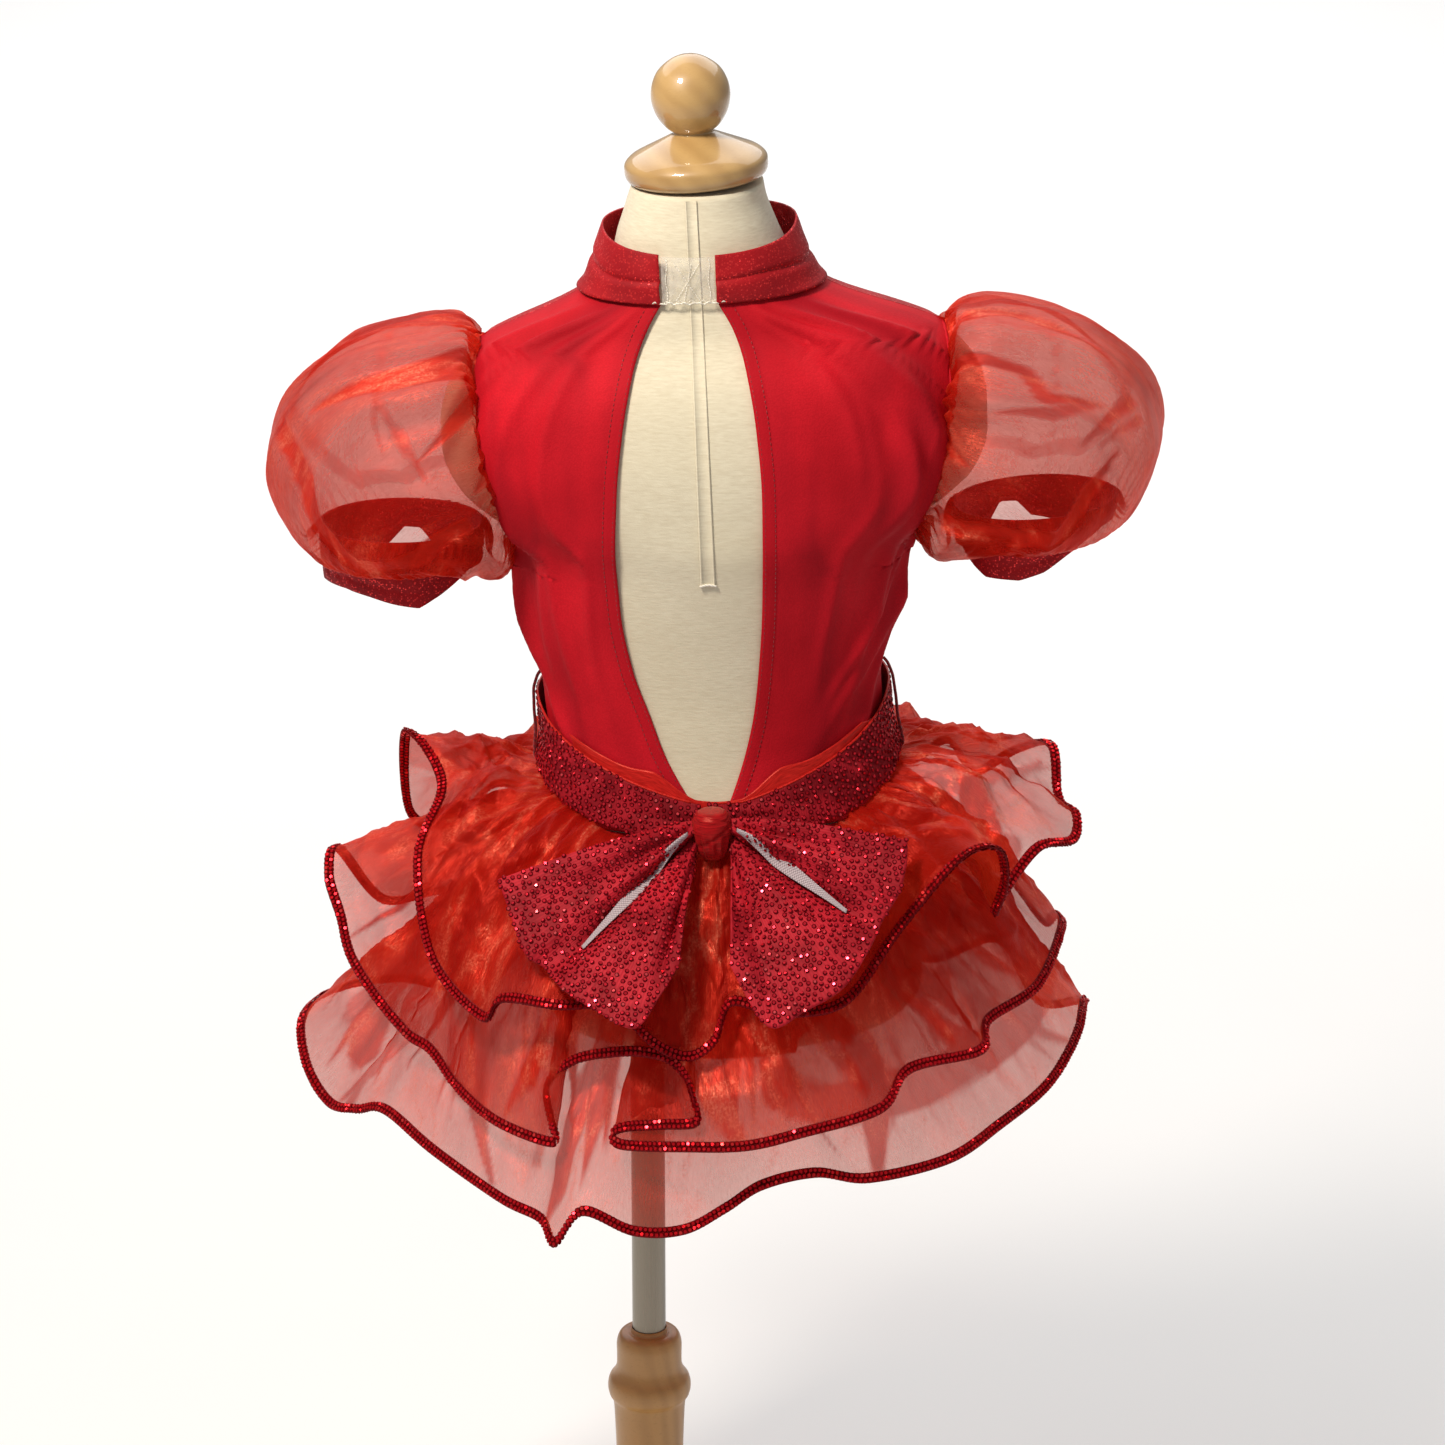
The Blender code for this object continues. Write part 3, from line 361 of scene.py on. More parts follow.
def cloth(name, grid, finish, ring=False, thick=0.0, marks=None, caps=False):
    """A sheet from a grid of points; its UV map is laid out in real cloth lengths."""
    grid = np.asarray(grid, float)
    rows, cols = grid.shape[:2]
    span = cols if ring else cols - 1
    across = np.linalg.norm(np.diff(grid, axis=1, append=grid[:, :1]), axis=2).mean(0)[:span]
    along = np.linalg.norm(np.diff(grid, axis=0), axis=2).mean(1)
    u = np.concatenate([[0], np.cumsum(across)]) / UV_UNIT
    v = np.concatenate([[0], np.cumsum(along)]) / UV_UNIT
    faces, uvs = [], []
    for i in range(rows - 1):
        for j in range(span):
            k = (j + 1) % cols
            faces.append((i * cols + j, i * cols + k, (i + 1) * cols + k, (i + 1) * cols + j))
            uvs += [(u[j], v[i]), (u[j + 1], v[i]), (u[j + 1], v[i + 1]), (u[j], v[i + 1])]
    points = to_room(grid).reshape(-1, 3)
    if caps:
        ends = [points[:cols].mean(0), points[-cols:].mean(0)]
        points = np.concatenate([points, ends])
        for j in range(span):
            k = (j + 1) % cols
            faces.append((rows * cols, k, j))
            faces.append((rows * cols + 1, (rows - 1) * cols + j, (rows - 1) * cols + k))
            uvs += [(u[j], 0), (u[j + 1], 0), (u[j], 0)]
            uvs += [(u[j], v[-1]), (u[j], v[-1]), (u[j + 1], v[-1])]
    obj = piece_of(name, points, faces, finish, uvs)
    for mark, values in (marks or {}).items():
        layer = obj.data.attributes.new(mark, "FLOAT", "POINT")
        flat = np.zeros(len(points), np.float32)
        flat[:rows * cols] = np.asarray(values, np.float32).ravel()
        layer.data.foreach_set("value", flat)
    if thick:
        wall = obj.modifiers.new("cloth thickness", "SOLIDIFY")
        wall.thickness, wall.offset, wall.use_even_offset = thick * MM, 1.0, False
    return obj


jersey, tree = finish_of("cream_cotton_jersey")
where = object_place(tree)
# Slubs in the yarn run round the body; the knit itself, 0.9 mm a stitch, is only a faint tooth
slubs = noise(tree, where, 1.0, 5.0, (150, 150, 900), Roughness=0.6)
knit = put(tree, "ShaderNodeTexVoronoi", {
    "Vector": put(tree, "ShaderNodeMapping", {"Vector": where, "Scale": (1, 1, 1.5)}).outputs[0],
    "Scale": 1 / (0.9 * MM)})
stain = noise(tree, where, 7.0, 2.0)
colour = blend_of(tree, "#E4DDC6", "#D2C8AF",
                  ranged(tree, slubs, 0.3, 0.75))
colour = blend_of(tree, colour, "#D3C9AC", ranged(tree, stain, 0.5, 0.8, 0, 0.5))
height = blend_of(tree, slubs, knit.outputs["Distance"], 0.25, "FLOAT")
bump = bumped(tree, height, 0.35, 0.0006)
surface(tree, {
    "Base Color": colour, "Roughness": 0.92, "Sheen Weight": 0.25, "Sheen Roughness": 0.5,
    "Specular IOR Level": 0.2, "Normal": bump})

turns = np.arange(0, 360, 2.5)
levels = np.concatenate([np.arange(HIP_Z, 200, 6), np.arange(200, NECK_Z + 0.1, 3)])
skin = body(levels[:, None], turns[None, :])
# The cover's side seams and centre-front seam pull it in a little
for seam_deg in (90, 180, 270):
    gap = np.abs(turns - seam_deg)
    pull = 0.5 * np.exp(-(gap / 1.6) ** 2)
    skin -= body_normal(levels[:, None], turns[None, :]) * pull[None, :, None]
bottom = []
for share in (0.05, 0.2, 0.4, 0.6, 0.75, 0.87, 0.95):
    ring = skin[0].copy()
    ring[:, :2] *= share
    ring[:, 2] = levels[0] - math.sqrt(1 - share * share) * BOTTOM_DROP
    bottom.append(ring)
shoulder = []
for share in (0.97, 0.85, 0.5, 0.1):
    ring = skin[-1].copy()
    ring[:, :2] *= share
    ring[:, 2] = NECK_Z
    shoulder.append(ring)
form = cloth("form_body", np.concatenate([np.array(bottom), skin, np.array(shoulder)]), jersey,
             ring=True, caps=True)
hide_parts("form_torso")
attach(form, "root")

# The closing tape is two narrow rolled edges beside a flat middle, with a bar tack at its foot
tape_z = np.linspace(93, 309, 130)
tape_x = np.array([
    # across, rise
    (-4.4, 0.1), (-4.1, 0.9), (-3.7, 1.2), (-3.2, 0.9), (-2.8, 0.45), (0, 0.4), (2.8, 0.45),
    (3.2, 0.9), (3.7, 1.2), (4.1, 0.9), (4.4, 0.1)])
tape_mid = np.interp(tape_z, (93, 200, 309), (-3.2, -3.4, -4.6))
tape_half = body(tape_z, 0)[:, 1]
tape_grid = np.stack([
    tape_mid[:, None] + tape_x[None, :, 0] * np.interp(tape_z, (93, 300), (1.0, 0.8))[:, None],
    tape_half[:, None] - tape_x[None, :, 1],
    np.broadcast_to(tape_z[:, None], (len(tape_z), len(tape_x)))], -1)
tape = cloth("form_closing_tape", tape_grid, jersey)
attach(tape, "root")

white_thread, tree = finish_of("white_cotton_thread")
twist = put(tree, "ShaderNodeTexWave", {
    "Vector": object_place(tree), "Scale": 300.0}, bands_direction="DIAGONAL")
colour = blend_of(tree, "#F4F0E6", "#DAD4C4", twist.outputs["Fac"])
surface(tree, {"Base Color": colour, "Roughness": 0.7})


def tube(name, path, radius, finish, sides=8, ring=False):
    """A round cord through points in millimetres."""
    path = np.asarray(path, float)
    if ring:
        ahead = np.roll(path, -1, 0) - np.roll(path, 1, 0)
    else:
        ahead = np.gradient(path, axis=0)
    ahead = unit(ahead)
    side = unit(np.cross(ahead, np.array([0.13, 0.21, 0.97])))
    up = np.cross(side, ahead)
    a = 2 * np.pi * np.arange(sides) / sides
    size = np.broadcast_to(np.asarray(radius, float), (len(path),))[:, None, None]
    grid = (path[:, None] + size * (side[:, None] * np.cos(a)[None, :, None]
                                    + up[:, None] * np.sin(a)[None, :, None]))
    if ring:
        grid = np.concatenate([grid, grid[:1]])
    return cloth(name, grid[:, ::-1], finish, ring=True, caps=not ring)


foot = body(93.0, 0.0)
bar = tube("form_bar_tack", [(-8.0 + 9.6 * t, foot[1] - 1.0, 92.6 + 0.9 * math.sin(3.1 * t))
                             for t in np.linspace(0, 1, 12)], 0.75, white_thread)
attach(bar, "root")


# Neck cap: a lathed maple disc with a ball on it, under a thick clear gloss lacquer that
# throws back the lamp as a small bright patch. It closes the padded neck.

maple = lacquered_wood("gloss_lacquered_maple", "#BE9A62", "#9C7642", 9.0, (1, 0.3, 1.0), 1.0, 0.42)


def cap_place(points):
    p = points / MM
    c, s = math.cos(LEAN), math.sin(LEAN)
    return to_room(np.stack([p[:, 0] * c + p[:, 2] * s - 1, p[:, 1],
                             -p[:, 0] * s + p[:, 2] * c + 312.9], -1))


cap = turned("neck_cap_turning", [
    (0, 0), (30, 0), (36, 0.1), (39.4, 1.6), (41.2, 4.4), (41.6, 8), (41, 11.8), (37, 15.6),
    (30, 19), (22, 22.6), (15.4, 25.6), (12.4, 27.2), (12.2, 28.6), (15.8, 31.5), (20, 37.5),
    (22.3, 44), (22.9, 50), (21.6, 57), (17.8, 64), (11, 69.5), (5, 72), (0, 72.6)],
    72, maple, cap_place)
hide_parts("neck_cap")
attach(cap, "root")


# Bodice backs: two panels of red stretch mesh, faced along the open back and topstitched
# 7 mm in. The cloth hangs in soft folds from the collar and drags towards the waist.

CLEAR, CLOTH = 1.2, 1.2         # air under the cloth and the cloth's own thickness
WAIST_SEAM_Z, NECK_SEAM_Z, SIDE_SEAM = -60.0, 252.0, 84.0
ARM_FOOT, ARM_TOP = 94.0, 224.0
FACING, STITCH_ROWS, STITCH_STEP = 8.2, (1.6, 7.4), 3.0     # from the edge, and along it

ARMHOLE = np.array([
    # z, out
    (95, 113), (105, 113.8), (114, 116.5), (124, 120), (138, 125), (158, 130.5),
    (176, 133.5), (192, 134.5), (206, 134.5), (216, 134), (224, 133)], float)
KEYHOLE = np.array([
    # z, left, right
    (-60, -8.0, -6.8), (-50, -12, 0), (-35, -22, 7), (-15, -32, 14), (10, -40, 20),
    (40, -49, 24), (75, -54, 27), (112, -55, 28.5), (148, -53, 29.5), (185, -48, 27.5),
    (215, -41, 23), (235, -33, 17), (252, -23, 8)], float)
BACK_FOLDS = np.array([
    # side, top_deg, top_z, foot_deg, foot_z, width_deg, rise
    (-1, 62, 235, 74, 60, 6.0, 2.2), (-1, 48, 225, 60, 20, 5.0, 1.5),
    (-1, 76, 75, 50, -40, 6.0, 1.6), (1, 24, 240, 66, 120, 5.0, 2.2),
    (1, 34, 245, 44, 90, 5.0, 1.6), (1, 80, 80, 36, -10, 6.0, 2.0),
    (1, 76, 40, 40, -45, 5.0, 1.5),
    (1, 52, 236, 78, 150, 3.0, 1.5), (1, 30, 200, 36, 20, 3.0, 0.9),
    (1, 40, 225, 58, 60, 3.0, 1.2), (1, 62, 180, 50, 10, 3.5, 1.2),
    (1, 82, 130, 62, 0, 3.0, 1.4), (1, 84, 20, 56, -55, 2.6, 1.1),
    (-1, 54, 180, 46, -10, 3.0, 0.9), (-1, 80, 150, 66, 20, 3.4, 1.3),
    (-1, 84, 40, 60, -50, 2.8, 1.1), (-1, 36, 240, 50, 120, 3.0, 1.1),
    (1, 16, 248, 30, 150, 2.0, 1.0), (1, 22, 248, 46, 130, 2.0, 1.1),
    (1, 30, 248, 66, 150, 2.2, 1.1), (-1, 44, 246, 74, 130, 2.6, 1.4),
    (-1, 30, 246, 38, 40, 2.4, 0.9), (-1, 70, 20, 34, -44, 2.2, 1.0),
    (1, 70, 110, 40, 10, 2.4, 1.1), (1, 78, -10, 40, -52, 2.2, 1.0)], float)


def body_angle(z, x):
    """Angle at which the back of a body section reaches x."""
    z, x = np.broadcast_arrays(np.asarray(z, float), np.asarray(x, float))
    low, high = np.full(z.shape, -90.0), np.full(z.shape, 90.0)
    for _ in range(30):
        mid = (low + high) / 2
        short = body(z, mid)[..., 0] < x
        low, high = np.where(short, mid, low), np.where(short, high, mid)
    return (low + high) / 2


def bell(x, middle, width):
    return np.exp(-((x - middle) / width) ** 2)


def panel_limit(z):
    """Where a back panel ends: side seam, armhole or shoulder seam."""
    hole = np.minimum(body_angle(z, column(ARMHOLE, z, 1) + column(BODY, z, 4)), 89.9)
    return np.where(z < ARM_FOOT, SIDE_SEAM, np.where(z > ARM_TOP + 1, 90.0, hole))


def panel_air(z):
    """Air under a panel, a little more where the cloth bridges the underarm."""
    return CLEAR + 0.9 * bell(z, 114, 16)


def cloth_place(tree):
    return put(tree, "ShaderNodeUVMap", uv_map="UVMap").outputs[0]


def mark_on(tree, name):
    return put(tree, "ShaderNodeAttribute", attribute_name=name).outputs["Fac"]


mesh_red, tree = finish_of("red_power_mesh")
uv = cloth_place(tree)
where = object_place(tree)
# Real holes are 0.5 mm; they are drawn 1.1 mm so that their tooth shows
holes = put(tree, "ShaderNodeTexVoronoi", {"Vector": uv, "Scale": UV_UNIT / 1.1}, feature="F1")
streaks = noise(tree, uv, 1.0, 4.0, (900, 90, 1))
clouds = noise(tree, where, 16.0, 3.0)
# Painted shade: soft dark streaks along the cloth stand in for the shade of its drag folds
drag = noise(tree, uv, 1.0, 1.5, (70, 8, 1), Distortion=0.3)
edge = mark_on(tree, "facing_band")
colour = blend_of(tree, "#D21828", "#AE0E1C", ranged(tree, clouds, 0.35, 0.7))
colour = blend_of(tree, colour, "#9C0A18",
                  ranged(tree, holes.outputs["Distance"], 0.1, 0.7, 0, 0.3))
# Painted shade of the drag folds mixed into the colour
colour = blend_of(tree, colour, "#8A081A", ranged(tree, drag, 0.4, 0.7, 0, 0.6))
colour = blend_of(tree, colour, "#B40E1E", ranged(tree, edge, 0.0, 1.0, 0, 0.45))
height = blend_of(tree, holes.outputs["Distance"], streaks, 0.4, "FLOAT")
bump = bumped(tree, height, 0.3, 0.0005)
surface(tree, {
    "Base Color": colour, "Roughness": 0.7, "Sheen Weight": 0.05, "Sheen Roughness": 0.35,
    "Sheen Tint": linear("#FF4A5A"), "Specular IOR Level": 0.12, "Normal": bump})


def panel_levels(step):
    marks = [WAIST_SEAM_Z, ARM_FOOT, ARM_TOP, ARM_TOP + 1.1, NECK_SEAM_Z]
    return np.unique(np.concatenate([np.arange(WAIST_SEAM_Z, NECK_SEAM_Z, step), marks]))


PANEL_STEP = 3.0
BACK_COLUMNS = 80
panel_edges = {}
for side, name, node in ((-1, "bodice_back_left", "back_left"),
                         (1, "bodice_back_right", "back_right")):
    z = panel_levels(PANEL_STEP)
    edge_deg = side * body_angle(z, column(KEYHOLE, z, 1 if side < 0 else 2))
    limit = panel_limit(z) - 0.2
    # Columns run straight on past the armhole's top; the last ones open out over the shoulder
    t = np.linspace(0, 1, BACK_COLUMNS)[None, :]
    hole_top = panel_limit(np.array([ARM_TOP]))[0] - 0.2
    main = (np.where(z > ARM_TOP + 0.5, hole_top, limit) - edge_deg)[:, None] * 0.985
    deg = edge_deg[:, None] + main * np.minimum(t / 0.9, 1)
    deg = deg + (limit - edge_deg - main[:, 0])[:, None] * np.clip((t - 0.9) / 0.1, 0, 1)
    zz = np.broadcast_to(z[:, None], deg.shape)
    rise = np.zeros(deg.shape)
    for owner, top_deg, top_z, foot_deg, foot_z, width, lift in BACK_FOLDS:
        if owner == side:
            share = (zz - foot_z) / (top_z - foot_z)
            bow = 3.0 * np.sin(np.clip(share, 0, 1) * math.pi)
            fade = np.clip(np.minimum((zz - foot_z + 30) / 60, (top_z + 24 - zz) / 40), 0, 1)
            line = foot_deg + (top_deg - foot_deg) * share + bow
            ridge = np.exp(-np.abs((deg - line) / width) ** 1.5)
            rise += (1.7 + 1.4 * np.clip((zz - 10) / 30, 0, 1)) * lift * fade ** 1.5 * ridge
    ease = np.clip(np.minimum.reduce([5 * t + 0 * deg, 5 * (1 - t) + 0 * deg, (zz + 50) / 30,
                                      (NECK_SEAM_Z - zz) / 12]), 0, 1)
    flat_off = panel_air(zz) + rise * ease
    grid = on_body(zz, side * deg, flat_off)
    from_edge = np.linalg.norm(grid - grid[:, :1], axis=2)
    band = np.clip((FACING - from_edge) / 0.8, 0, 1)
    groove = bell(from_edge, STITCH_ROWS[1], 0.8)
    grid = on_body(zz, side * deg, flat_off + 0.35 * band - 0.45 * groove)
    panel = cloth(name, grid if side > 0 else grid[:, ::-1], mesh_red, thick=CLOTH,
                  marks={"facing_band": band if side > 0 else band[:, ::-1]})
    panel_edges[side] = on_body(zz, side * deg, flat_off + CLOTH)
    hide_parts(node)
    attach(panel, "root")


# Stitches: red polyester thread, 2.3 mm stitches 3 mm apart, along the facing of the open
# back; a second row lies close to the fold of its edge.

red_thread, tree = finish_of("red_polyester_thread")
twist = put(tree, "ShaderNodeTexWave", {
    "Vector": object_place(tree), "Scale": 420.0}, bands_direction="DIAGONAL")
colour = blend_of(tree, "#A01020", "#6E0812", twist.outputs["Fac"])
surface(tree, {"Base Color": colour, "Roughness": 0.45,
                                                "Sheen Weight": 0.2})


def repeat_tree(name, shape):
    """Geometry Nodes that set one small shape on every point, facing out and along its row."""
    group = bpy.data.node_groups.new(name, "GeometryNodeTree")
    group.interface.new_socket("Geometry", in_out="INPUT", socket_type="NodeSocketGeometry")
    group.interface.new_socket("Geometry", in_out="OUTPUT", socket_type="NodeSocketGeometry")
    for label, kind in (("Radius", "NodeSocketFloat"), ("Height", "NodeSocketFloat"),
                        ("Spacing", "NodeSocketFloat"), ("Tilt", "NodeSocketFloat"),
                        ("Seed", "NodeSocketInt"), ("Finish", "NodeSocketMaterial")):
        group.interface.new_socket(label, in_out="INPUT", socket_type=kind)
    given = put(group, "NodeGroupInput")
    size = given.outputs
    if shape == "stitch":
        ball = put(group, "GeometryNodeMeshIcoSphere", {"Radius": 1.0, "Subdivisions": 1})
        stretch = put(group, "ShaderNodeCombineXYZ", {"X": size["Radius"], "Y": size["Height"],
                                                      "Z": size["Height"]})
        one = put(group, "GeometryNodeTransform", {"Geometry": ball.outputs[0],
                                                   "Scale": stretch.outputs[0]}).outputs[0]
    else:
        top = put(group, "ShaderNodeMath", {0: size["Radius"], 1: 0.58}, operation="MULTIPLY")
        cup = put(group, "GeometryNodeMeshCone", {
            "Vertices": 7, "Radius Top": top.outputs[0], "Radius Bottom": size["Radius"],
            "Depth": size["Height"]})
        # The cone's sloping side is marked rim; the sequin film paints it darker as shade
        one = put(group, "GeometryNodeStoreNamedAttribute", {
            "Geometry": cup.outputs["Mesh"], "Name": "rim", "Value": cup.outputs["Side"]},
            data_type="FLOAT", domain="FACE").outputs[0]
    points = size["Geometry"]
    if shape == "strewn cup":
        strewn = put(group, "GeometryNodeDistributePointsOnFaces", {
            "Mesh": size["Geometry"], "Distance Min": size["Spacing"], "Density Max": 400000.0,
            "Seed": size["Seed"]}, distribute_method="POISSON")
        points, turn = strewn.outputs["Points"], strewn.outputs["Rotation"]
    else:
        out, on = (put(group, "GeometryNodeInputNamedAttribute", {"Name": label},
                       data_type="FLOAT_VECTOR") for label in ("out", "on"))
        up = put(group, "FunctionNodeAlignRotationToVector", {"Vector": out.outputs[0]}, axis="Z")
        turn = put(group, "FunctionNodeAlignRotationToVector", {
            "Rotation": up.outputs[0], "Vector": on.outputs[0]},
            axis="X", pivot_axis="Z").outputs[0]
    less = put(group, "ShaderNodeMath", {0: size["Tilt"], 1: -1.0}, operation="MULTIPLY").outputs[0]
    low, high = (put(group, "ShaderNodeCombineXYZ", dict.fromkeys("XYZ", most))
                 for most in (less, size["Tilt"]))
    loose = put(group, "FunctionNodeRandomValue", {0: low.outputs[0], 1: high.outputs[0],
                                                   "Seed": size["Seed"]}, data_type="FLOAT_VECTOR")
    wobble = put(group, "FunctionNodeEulerToRotation", {0: loose.outputs[0]})
    final = put(group, "FunctionNodeRotateRotation", {
        "Rotation": turn, "Rotate By": wobble.outputs[0]}, rotation_space="LOCAL")
    set_on = put(group, "GeometryNodeInstanceOnPoints", {
        "Points": points, "Instance": one, "Rotation": final.outputs[0]})
    # A random tone per shape; the sequin film paints the brightest few as glints
    tone = put(group, "FunctionNodeRandomValue", {"Seed": size["Seed"]}, data_type="FLOAT")
    toned = put(group, "GeometryNodeStoreNamedAttribute", {
        "Geometry": set_on.outputs[0], "Name": "tone", "Value": tone.outputs[1]},
        data_type="FLOAT", domain="INSTANCE")
    real = put(group, "GeometryNodeRealizeInstances", {"Geometry": toned.outputs[0]})
    dressed = put(group, "GeometryNodeSetMaterial", {"Geometry": real.outputs[0],
                                                     "Material": size["Finish"]})
    put(group, "NodeGroupOutput", {"Geometry": dressed.outputs[0]})
    return group


def repeated(name, group, source, finish, **sizes):
    """Runs a repeat tree on a source mesh and keeps its result as a plain mesh."""
    carrier = bpy.data.objects.new(name + "_carrier", source)
    bpy.context.scene.collection.objects.link(carrier)
    made = carrier.modifiers.new("repeat", "NODES")
    made.node_group = group
    wanted = {"Finish": finish, "Seed": 7, **sizes}
    for item in group.interface.items_tree:
        if item.in_out == "INPUT" and item.name in wanted:
            made[item.identifier] = wanted[item.name]
    bpy.context.view_layer.update()
    ready = carrier.evaluated_get(bpy.context.evaluated_depsgraph_get())
    mesh = bpy.data.meshes.new_from_object(ready)
    mesh.name = name
    bpy.data.objects.remove(carrier)
    obj = bpy.data.objects.new(name, mesh)
    bpy.context.scene.collection.objects.link(obj)
    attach(obj, "root")
    return obj


def row_points(spots, out, on):
    """Loose points in room metres with the way each one faces and runs."""
    mesh = bpy.data.meshes.new("row")
    base = to_room(np.zeros((1, 3)))
    mesh.from_pydata([tuple(p) for p in to_room(spots)], [], [])
    for label, values in (("out", out), ("on", on)):
        layer = mesh.attributes.new(label, "FLOAT_VECTOR", "POINT")
        layer.data.foreach_set("vector", (to_room(values) - base).astype(np.float32).ravel())
    return mesh


def along(at, run, path):
    """Points of a path at given lengths, where run holds the length at each of its corners."""
    return np.stack([np.interp(at, run, path[:, k]) for k in range(3)], -1)


def even(path, spacing, start=0.0):
    """Points at an even spacing along a path, and the way it runs there."""
    path = np.asarray(path, float)
    run = np.concatenate([[0], np.cumsum(np.linalg.norm(np.diff(path, axis=0), axis=1))])
    at = np.arange(start, run[-1], spacing)
    spots, after, before = (along(where, run, path) for where in (
        at, np.minimum(at + 0.5, run[-1]), np.maximum(at - 0.5, 0)))
    return spots, unit(after - before), at / run[-1]


stitch_tree = repeat_tree("stitch_row", "stitch")
spots, outs, ons = [], [], []
for side, grid in panel_edges.items():
    for inset in STITCH_ROWS:
        from_edge = np.linalg.norm(grid - grid[:, :1], axis=2)
        line = np.array([[np.interp(inset, d, row[:, k]) for k in range(3)]
                         for d, row in zip(from_edge, grid)])
        p, way, _ = even(line[3:-1], STITCH_STEP)
        away = body_normal(p[:, 2], body_angle(p[:, 2], p[:, 0]))
        spots.append(p + away * 0.25)
        outs.append(away)
        ons.append(way)
stitches = repeated("facing_stitches", stitch_tree,
                    row_points(*map(np.concatenate, (spots, outs, ons))),
                    red_thread, Radius=1.15 * MM, Height=0.3 * MM, Tilt=0.08)


# Bodice front: one panel of dark red stretch cloth sprinkled with foil, which shows from
# behind only at the side seams. Collar and cuffs are cut from the same cloth.

def times(tree, a, b):
    return put(tree, "ShaderNodeMath", {0: a, 1: b}, operation="MULTIPLY").outputs[0]


def glitter_cloth(name, base, deep, flake):
    """Foil-dotted stretch cloth: a dull dark ground, and flakes that each face their own way."""
    mat, tree = finish_of(name)
    where = object_place(tree)
    # Foil dots are 0.6 mm apart; drawn 1.1 mm apart so that they show
    dots = put(tree, "ShaderNodeTexVoronoi", {"Vector": where, "Scale": 1 / (1.1 * MM)})
    clouds = noise(tree, where, 38.0, 3.0)
    split = put(tree, "ShaderNodeSeparateColor", {0: dots.outputs["Color"]})
    some = ranged(tree, split.outputs[0], 0.72, 0.78)
    near = ranged(tree, dots.outputs["Distance"], 0.55, 0.3)
    shown = times(tree, some, near)
    colour = blend_of(tree, base, deep, ranged(tree, clouds, 0.35, 0.68))
    colour = blend_of(tree, colour, flake, shown)
    rough = ranged(tree, shown, 0, 1, 0.6, 0.2)
    metal = ranged(tree, shown, 0, 1, 0.0, 0.75)
    tilt = bumped(tree, split.outputs[1], 0.55, 0.0008)
    surface(tree, {
        "Base Color": colour, "Roughness": rough, "Metallic": metal, "Sheen Weight": 0.06,
        "Sheen Tint": linear("#FF5A5A"), "Specular IOR Level": 0.2, "Normal": tilt})
    return mat


glitter = glitter_cloth("red_foil_glitter_cloth", "#AA121C", "#900E18", "#FF4444")

z = panel_levels(4.0)
start = np.where(z < ARM_FOOT, SIDE_SEAM, 180.0 - panel_limit(z)) + 0.2
t = np.linspace(0, 1, 120)[None, :]
deg = start[:, None] + (360 - 2 * start)[:, None] * t
zz = np.broadcast_to(z[:, None], deg.shape)
bust = 1.1 * bell(zz, 110, 45) * np.sin(np.radians(deg - 90)) ** 2
drag = 0.9 * bell(zz, -10, 30) * (np.sin(np.radians(deg * 7)) ** 2) * np.sin(np.pi * t)
front = cloth("bodice_front", on_body(zz, deg, panel_air(zz) + bust * 0.6 + drag * 0.7), glitter,
              thick=CLOTH)
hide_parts("front_bodice")
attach(front, "root")


# Brief: two pieces of the bodice's mesh below the waist seam, cut away for the legs and
# joined by a narrow strip under the form. The skirt hides all but their lowest part.

CROTCH_HALF, BRIEF_CLEAR, BRIEF_WALL, BRIEF_COLUMNS = 27.0, 2.0, 1.2, 61
LEG_CUT = np.array([
    # depth, half angle of the back, half angle of the front
    (60.5, 84, 96), (80, 84, 96), (92, 84, 93), (102, 82, 84), (112, 76, 72),
    (124, 67, 58), (138, 56, 45), (152, 45, 33), (168, 33, 23), (190, 17, 15)], float)

for back, name, node in ((True, "brief_seat", "brief_back"), (False, "brief_belly", "brief_front")):
    across = np.linspace(-1, 1, BRIEF_COLUMNS)
    depth = np.arange(60.5, 190.1, 4.0)
    half = column(LEG_CUT, depth, 1 if back else 2) - 0.2
    upper = on_body(np.broadcast_to(-depth[:, None], (len(depth), BRIEF_COLUMNS)),
                    (0 if back else 180) + half[:, None] * across[None, :],
                    np.full((len(depth), BRIEF_COLUMNS), BRIEF_CLEAR))
    edge_half = abs(upper[-1, 0, 0])
    flip = 1 if back else -1
    under = []
    for share in (0.97, 0.93, 0.87, 0.8, 0.7, 0.6, 0.48, 0.35, 0.18, 0.0):
        width = edge_half + (CROTCH_HALF - edge_half) * (1 - share)
        x = flip * across * width
        rim = BODY[0, 2 if back else 3] * (1 + SQUARE * 0.2) * np.sqrt(1 - (x / BODY[0, 1]) ** 2)
        y = np.maximum(rim * share, 0.15)
        reach = np.minimum(1, np.sqrt((x / BODY[0, 1]) ** 2 + (y / BODY[0, 2 if back else 3]) ** 2))
        low = HIP_Z - np.sqrt(1 - reach ** 2) * BOTTOM_DROP
        p = np.stack([x, -y if back else y, low], -1)
        push = unit(np.stack([x / 240, p[:, 1] / 150,
                              np.full(BRIEF_COLUMNS, -1 - 0.4 * share)], -1))
        under.append(p + push * (BRIEF_CLEAR + 0.4))
    grid = np.concatenate([upper, np.array(under)])[::-1]
    hem_in = np.clip((1 - np.abs(across)) * 26, 0, 1)
    piece = cloth(name, grid, mesh_red, thick=BRIEF_WALL,
                  marks={"facing_band": np.broadcast_to(1 - hem_in, grid.shape[:2])})
    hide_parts(node)
    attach(piece, "root")


# Collar: a stand-up band of the glitter cloth folded double, creased along its middle and
# rolling out at its foot, with its two ends turned in at the open back.

